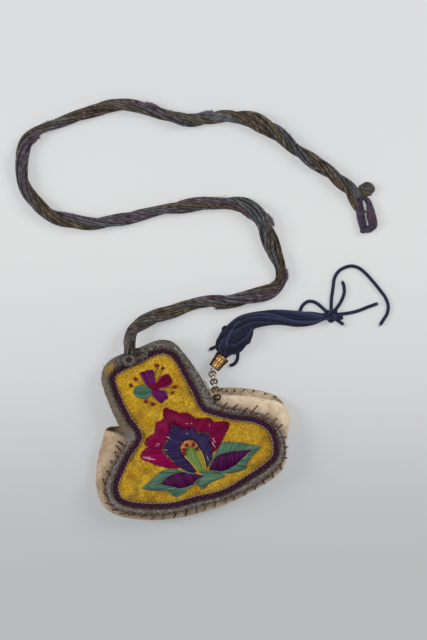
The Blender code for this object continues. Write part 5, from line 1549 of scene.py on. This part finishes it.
innerPetals = [
    ([(-0.1, -9.2), (-1.7, -3.5), (-3.2, 2.0), (-3.1, 6.6)],
     [(-3.2, -7.8), (-7.5, -3.3), (-10.1, 2.5), (-12.7, 9.4)]),
    ([(-2.9, 7.4), (-1.3, 9.0), (0.7, 9.5)],
     [(-12.4, 10.2), (-7.7, 13.6), (-4.8, 17.7), (-1.3, 20.2)]),
    ([(1.3, 9.5), (3.4, 8.9), (5.0, 7.9)],
     [(-0.7, 19.9), (2.8, 15.2), (7.1, 14.4)]),
    ([(5.4, 7.5), (6.4, 5.6), (6.8, 3.7)],
     [(7.5, 14.2), (8.8, 10.9), (12.5, 9.4)]),
    ([(6.9, 3.1), (7.1, -0.3), (7.5, -5.2), (7.0, -8.8)],
     [(12.7, 9.2), (14.9, 7.4), (13.6, 3.7), (12.4, -3.5), (9.5, -6.7)]),
]
stamen = {
    "stamen_arch": ([(-2.2, 3.6), (-0.5, 5.3), (2.1, 5.2), (4.7, 3.6)],
                    [(-3.2, 4.8), (-2.4, 7.0), (0.2, 9.1), (3.6, 8.7), (6.0, 6.7), (6.7, 4.0)]),
    "stamen_strip_left": ([(-3.1, 3.8), (-2.8, 0.9), (-1.2, -3.0), (0.1, -7.8), (1.1, -10.3)],
                          [(-1.0, 3.6), (-1.4, 0.1), (0.0, -4.1), (1.5, -8.2), (2.3, -10.5)]),
    "stamen_fan": ([(-0.9, 4.0), (-1.4, 0.1), (0.0, -4.1), (1.7, -8.4), (2.5, -10.6)],
                   [(4.9, 3.2), (4.5, -1.1), (4.3, -4.2), (4.5, -7.4), (4.1, -9.9)]),
    "stamen_strip_right": ([(5.1, 2.8), (4.5, -1.1), (4.3, -4.2), (4.5, -7.4), (3.9, -10.0)],
                           [(6.6, 2.8), (7.3, -1.1), (7.0, -5.3), (6.5, -8.3), (4.6, -10.3)]),
}
lotusStem = ([(3.6, -10.4), (0.9, -13.2), (-1.9, -15.7), (-1.5, -16.7), (-0.1, -19.0)],
             [(4.6, -10.6), (9.3, -13.7), (14.3, -16.9), (13.5, -18.1), (6.6, -18.0), (0.6, -19.2)])
leaves = {
    "left": ([(-0.8, -11.4), (-3.6, -9.4), (-8.1, -5.4), (-14.7, -1.9), (-20.3, -2.3),
              (-26.0, -4.2), (-31.5, -6.0)],
             [(-2.4, -14.0), (-6.5, -16.1), (-9.7, -16.7), (-14.9, -18.4), (-17.6, -16.2),
              (-19.6, -12.8), (-25.9, -10.0), (-31.5, -6.5)]),
    "right": ([(7.0, -10.4), (9.9, -8.0), (13.1, -4.8), (19.9, 0.1), (25.1, -1.9), (30.1, -4.2),
               (38.4, -10.1)],
              [(7.3, -11.4), (13.6, -15.7), (20.3, -17.8), (27.2, -18.3), (27.8, -16.4),
               (33.5, -12.6), (38.4, -10.6)]),
}
hearts = {
    "left": ([(1.8, -12.6), (-1.0, -10.0), (-5.7, -7.1), (-13.0, -5.7), (-20.2, -7.7)],
             [(1.8, -13.1), (-1.7, -14.8), (-10.3, -15.0), (-14.3, -12.6), (-20.2, -8.2)]),
    "right": ([(7.6, -10.8), (12.3, -6.4), (20.1, -6.1), (32.8, -9.5)],
              [(7.6, -11.3), (13.6, -14.6), (21.7, -14.2), (27.1, -12.0), (32.8, -10.0)]),
}
budPetals = {
    "top": ([(-4.6, 44.0), (-7.4, 46.8), (-8.1, 50.7), (-8.5, 54.3)],
            [(-3.2, 44.2), (-1.7, 46.8), (-1.1, 49.7), (-0.2, 53.7)]),
    "right": ([(-4.6, 44.2), (-0.2, 46.2), (2.9, 48.0), (6.2, 48.1)],
              [(-4.6, 42.9), (0.0, 41.9), (4.8, 41.2), (7.2, 42.4)]),
    "low": ([(-4.9, 43.2), (-1.9, 41.1), (1.4, 39.7), (1.5, 35.2)],
            [(-5.7, 42.9), (-6.1, 40.1), (-5.7, 37.6), (-4.0, 34.3)]),
    "left": ([(-5.6, 43.2), (-7.5, 46.3), (-11.0, 48.3), (-14.8, 47.2)],
             [(-5.8, 42.4), (-8.8, 39.6), (-13.1, 40.4), (-15.9, 44.1)]),
}
budHeart = ([(-7.2, 44.6), (-4.8, 43.2), (-2.6, 41.4)], [(-4.6, 47.0), (-2.4, 45.6), (-0.4, 43.4)])
floss = {
    "width": 0.25, "spacing": 0.33, "height": 0.15, "steps": 8, "sink": 0.1, "lift": 0.55,
    "crown": 0.34, "jag": 0.7, "side": 0.36, "tuck": 0.45,
}


def stretched(points, more):
    # A curve that goes on a little past both its ends
    curve = spline(points, closed=False)
    before, after = unit(curve[0] - curve[1]), unit(curve[-1] - curve[-2])
    longer = np.vstack([curve[0] + before * more, curve, curve[-1] + after * more])
    return np.vstack([resample(longer, 199), longer[-1]])


def satin(inner, outer, slant=0.0, lengthwise=False, lift=0.0, **own):
    # Stitches side by side: each runs from one side to the other, ends a little past it and is
    # arched between
    f = {**floss, **own}
    inner, outer = stretched(inner, f["side"]), stretched(outer, f["side"])
    last = len(inner) - 1
    t = np.linspace(0, 1, f["steps"])
    if lengthwise:
        wide = np.linalg.norm(inner - outer, axis=1).max()
        count = max(3, int(wide / f["spacing"]) + 1)
        across = np.linspace(0.04, 0.96, count)[:, None, None]
        ends = 1 - draw.uniform(0, 0.1, (count, 1)) * f["jag"]
        rows = (t * ends * last).astype(int)
        flat = inner[rows] * (1 - across) + outer[rows] * across
    else:
        count = max(4, int(max(runOf(inner)[-1], runOf(outer)[-1]) / f["spacing"]))
        where = (np.arange(count) + 0.5) / count
        first = inner[(where * last).astype(int)]
        second = outer[(np.clip(where + slant, 0, 1) * last).astype(int)]
        long = np.maximum(np.linalg.norm(second - first, axis=1), 0.8)[:, None]
        past = draw.uniform(-0.15, 1.0, (count, 1)) * f["jag"]
        share = t * (1 + (past + f["tuck"]) / long) - f["tuck"] / long
        flat = first[:, None] + (second - first)[:, None] * share[..., None]
    flat = flat + 0.05 * draw.normal(size=(len(flat), 1, 2))
    x, y = flat[..., 0], flat[..., 1]
    bulge = np.sin(math.pi * t)
    arch = np.clip(bulge, 0.0, 1.0) ** 0.35
    high = feltTop(x, y) + creaseLift(x, y) + lift - f["sink"]
    high = high + (f["lift"] + f["crown"] * bulge) * arch
    high = high + 0.03 * draw.normal(size=(len(flat), 1))
    thick = f["width"] * (0.75 + 0.25 * bulge)
    return tubes(np.dstack([x, y, high]), thick, sides=5, flat=f["height"] / f["width"])


stamenLooks = {  # paint, slot
    "stamen_arch": ("orange", "tan_silk"), "stamen_strip_left": ("tan", "tan_silk"),
    "stamen_fan": ("green", "green_silk"), "stamen_strip_right": ("olive", "tan_silk"),
}
budLooks = {
    "top": ("plum", "purple_silk"), "right": ("magenta", "magenta_silk"),
    "low": ("plum", "purple_silk"), "left": ("teal", "teal_silk"),
}


def makeEmbroidery():
    for number, sides in enumerate(outerPetals, 1):
        # the three left outer petals take the lighter copy of the magenta silk: painted light
        paint = "magentaLitLeft" if number < 4 else "magenta"
        addPiece(f"outerPetal{number}", satin(*sides, jag=1.0), paint, "magenta_silk",
                 f"lotus_outer_petal_{number}")
    for number, sides in enumerate(innerPetals, 1):
        addPiece(f"innerPetal{number}", satin(*sides, jag=0.9), "indigo", "indigo_silk",
                 f"lotus_inner_petal_{number}")
    for node, sides in stamen.items():
        arched = node == "stamen_arch"
        shape = satin(*sides, lengthwise=not arched, jag=0.3, side=0.3 if arched else 1.0)
        dress(node, shape, *stamenLooks[node])
    dress("lotus_stem", satin(*lotusStem, slant=0.08, side=0.8), "teal", "teal_silk")
    for side, (upper, lower) in leaves.items():
        heartUpper, heartLower = hearts[side]
        shape = joined(satin(heartUpper, upper, slant=0.07), satin(heartLower, lower, slant=0.07))
        dress(f"leaf_{side}", shape, "teal", "teal_silk")
        shape = satin(heartUpper, heartLower, slant=-0.12, lift=0.25, jag=0.4)
        dress(f"leaf_heart_{side}", shape, "purple", "purple_silk")
    for side, sides in budPetals.items():
        dress(f"bud_petal_{side}", satin(*sides, lengthwise=True, side=0.8), *budLooks[side])
    addPiece("budHeart", satin(*budHeart, lift=0.2, jag=0.5), "magenta", "magenta_silk")


# Painted glints, small knots and stems, the stitches round the panel and along the rim

paintedGlints = [  # pale threads laid as painted highlights where the silk shows glints: from, to
    ((-24.7, 9.8), (-18.9, 7.5)), ((-23.9, 8.8), (-17.8, 6.0)), ((-22.5, 7.6), (-16.8, 5.1)),
    ((-7.9, 15.5), (-6.1, 13.6)), ((-14.8, 14.6), (-13.0, 12.8)), ((-15.6, 13.4), (-14.2, 12.2)),
    ((4.6, 18.3), (6.6, 17.1)), ((7.2, 17.7), (8.8, 16.1)), ((17.3, 13.0), (16.5, 10.2)),
    ((14.7, 2.9), (15.5, -1.9)), ((16.1, 4.7), (16.2, 0.9)), ((9.2, -2.5), (8.6, -8.6)),
    ((8.2, -10.6), (12.9, -11.6)), ((29.9, -11.6), (31.5, -10.6)), ((20.6, -11.8), (24.6, -11.2)),
    ((2.8, 13.0), (4.4, 12.2)), ((-11.8, 9.2), (-10.2, 8.0)),
]
budDots = [
    (2.7, 54.2), (4.7, 51.6), (-11.8, 52.2), (-15.5, 49.6), (7.3, 39.4), (4.7, 36.9), (-10.9, 38.2),
    (-8.4, 35.4),
]
stamenDots = [(0.9, 6.7), (4.3, 5.3), (-1.8, 5.0), (-2.3, 2.6), (5.6, 2.6)]
budStems = {
    "roots": [(-3.4, 46.6), (-1.6, 45.4), (-7.4, 44.8), (-8.4, 44.0), (-2.2, 42.6), (-2.6, 41.8),
              (-7.2, 41.6), (-6.4, 41.2)],
    "thick": [0.3, 0.12, 0.1, 0.1, 0.3, 0.12, 0.1, 0.1], "lift": 0.22,
}
dotKnot = {"radius": 0.72, "turns": 2.4, "rise": 0.5, "thread": 0.32, "spread": 0.3}
flankStitches = [  # inner end, outer end
    ((25.6, 17.2), (31.0, 19.8)), ((31.9, 15.2), (35.9, 16.6)), ((35.8, 11.1), (40.5, 12.8)),
    ((39.2, 8.1), (46.2, 11.7)), ((44.7, 3.7), (50.5, 5.4)), ((48.4, -0.9), (54.0, 0.8)),
    ((50.9, -5.2), (55.4, -3.6)), ((-32.9, 20.2), (-34.4, 23.3)), ((-35.2, 18.0), (-36.4, 21.6)),
    ((-38.2, 15.0), (-38.5, 18.6)), ((-41.5, 11.4), (-42.7, 14.8)), ((-45.8, 7.2), (-46.9, 10.2)),
    ((-50.5, 3.2), (-50.8, 6.8)), ((-51.6, -3.7), (-53.2, 0.1)), ((-51.6, -8.6), (-54.5, -6.4)),
    ((-48.8, -13.2), (-52.4, -11.5)), ((-45.2, -16.0), (-49.4, -15.2)),
    ((-41.2, -18.4), (-45.1, -17.7)), ((-35.6, -21.4), (-39.4, -21.3)),
    ((-31.0, -23.2), (-34.0, -24.9)), ((-25.5, -25.0), (-28.0, -26.9)),
    ((-19.3, -26.9), (-22.0, -29.1)), ((-12.8, -27.6), (-15.6, -30.5)),
    ((-7.4, -28.0), (-8.9, -31.2)), ((-2.0, -28.7), (-3.9, -31.5)), ((3.6, -29.6), (1.7, -32.1)),
    ((9.5, -30.4), (8.4, -32.5)), ((14.6, -30.4), (13.8, -32.6)), ((21.8, -30.3), (19.8, -32.3)),
    ((28.2, -30.0), (26.7, -31.9)), ((32.9, -29.0), (33.2, -31.2)), ((39.6, -27.2), (38.8, -29.6)),
    ((45.2, -24.4), (45.2, -27.0)), ((49.0, -21.0), (50.4, -22.4)), ((51.8, -15.6), (53.2, -16.9)),
    ((52.6, -10.2), (54.8, -11.2)),
]
blackStitches = [
    (31.7, 28.2), (33.8, 26.4), (38.0, 24.7), (43.1, 22.9), (48.1, 20.2), (53.5, 16.3),
    (58.0, 12.6), (60.5, 7.6),
]
whip = {"thread": 0.38, "arch": 0.25, "dive": 0.5, "edge": 1.4}
rim = {"thread": 0.42, "setback": 0.7, "reach": 0.5, "height": 1.7, "arch": 0.5}


def laid(starts, ends, steps):
    # Points in straight rows from each start to its end, and their shares of the way
    t = np.linspace(0, 1, steps)
    starts, ends = np.array(starts)[:, None], np.array(ends)[:, None]
    return starts * (1 - t[:, None]) + ends * t[:, None], t


# pale threads that stand in for glints on the satin: painted highlights
def makePaintedGlints():
    ends = np.array(paintedGlints)
    flat, t = laid(ends[:, 0], ends[:, 1], 8)
    high = feltTop(flat[..., 0], flat[..., 1]) + 0.86 - 0.2 * np.abs(2 * t - 1)
    addPiece("paintedGlintThreads", tubes(np.dstack([flat, high]), 0.13, sides=5), "pale", "pale_cord")


def spiral(centres, radius, turns, rise):
    # A thread wound into a small knot
    t = np.linspace(0, 1, 22)
    a = 2 * math.pi * turns * t
    reach = radius * (0.25 + 0.75 * np.sin(math.pi * (0.15 + 0.8 * t)))
    wound = np.column_stack([reach * np.cos(a), reach * np.sin(a), rise * t])
    return np.asarray(centres)[:, None, :] + wound[None]


def makeKnots(k, s):
    for name, dots, rise in (("budKnots", budDots, 0.3), ("stamenKnots", stamenDots, 0.95)):
        flat = np.array(dots)
        flat = np.vstack([flat, flat + draw.normal(0, k["spread"], flat.shape)])
        centres = np.column_stack([flat, feltTop(*flat.T) + rise])
        paths = spiral(centres, k["radius"], k["turns"], k["rise"])
        addPiece(name, tubes(paths, k["thread"], sides=6), "dots", "magenta_silk")
    flat, _ = laid(s["roots"], budDots, 10)
    thick = np.array(s["thick"])[:, None]
    high = feltTop(flat[..., 0], flat[..., 1]) + s["lift"] + thick
    stems = tubes(np.dstack([flat, high]), thick, sides=6)
    addPiece("budStems", stems, "stems", "green_silk")


def skin(flat):
    # Height of what a stitch lies on: the binding inside the panel's edge, the leather outside it
    gap, _ = gapTo(panelFine, flat)
    lip = binding["slot"] + binding["lip"]
    share = np.clip(gap / whip["edge"], 0, 1)
    rolled = lip * (1.2 * np.sqrt(1 - (1 - share) ** 2) - 0.2)
    return np.where(gap > 0, panelMiddle(*flat.T) + rolled, frontHeight(*flat.T))


def makeWhipStitches(w):
    # Threads over the binding's edge, their ends going under the surface
    inner, outer = np.array(flankStitches).swapaxes(0, 1)
    flat, t = laid(inner, outer, 11)
    under = skin(flat.reshape(-1, 2)).reshape(flat.shape[:2])
    straight = under[:, :1] * (1 - t) + under[:, -1:] * t
    high = np.maximum(under, straight) + w["thread"] + w["arch"] * np.sin(math.pi * t)
    high[:, [0, -1]] -= w["dive"]
    span = outer - inner
    sideways = unit(np.column_stack([span[:, 1], -span[:, 0], np.zeros(len(span))]))
    shape = tubes(np.dstack([flat, high]), w["thread"], sides=7, upright=sideways)
    addPiece("whipStitches", shape, "whip", "purple_braid")


def makeRimStitches(r):
    spots = np.array(blackStitches)
    toMiddle = unit(np.array(bagShape["middle"]) - spots)
    t = np.linspace(-1, 1, 7)
    flat = spots[:, None] + toMiddle[:, None] * (r["setback"] + r["reach"] * t)[:, None]
    high = np.broadcast_to(r["height"] + r["arch"] * np.cos(1.5 * t), flat.shape[:2])
    shape = tubes(np.dstack([flat, high]), r["thread"], sides=8)
    addPiece("rimStitches", shape, "black", "cream_leather")


makeEmbroidery()
makePaintedGlints()
makeKnots(dotKnot, budStems)
makeWhipStitches(whip)
makeRimStitches(rim)
print("embroidery and stitches")
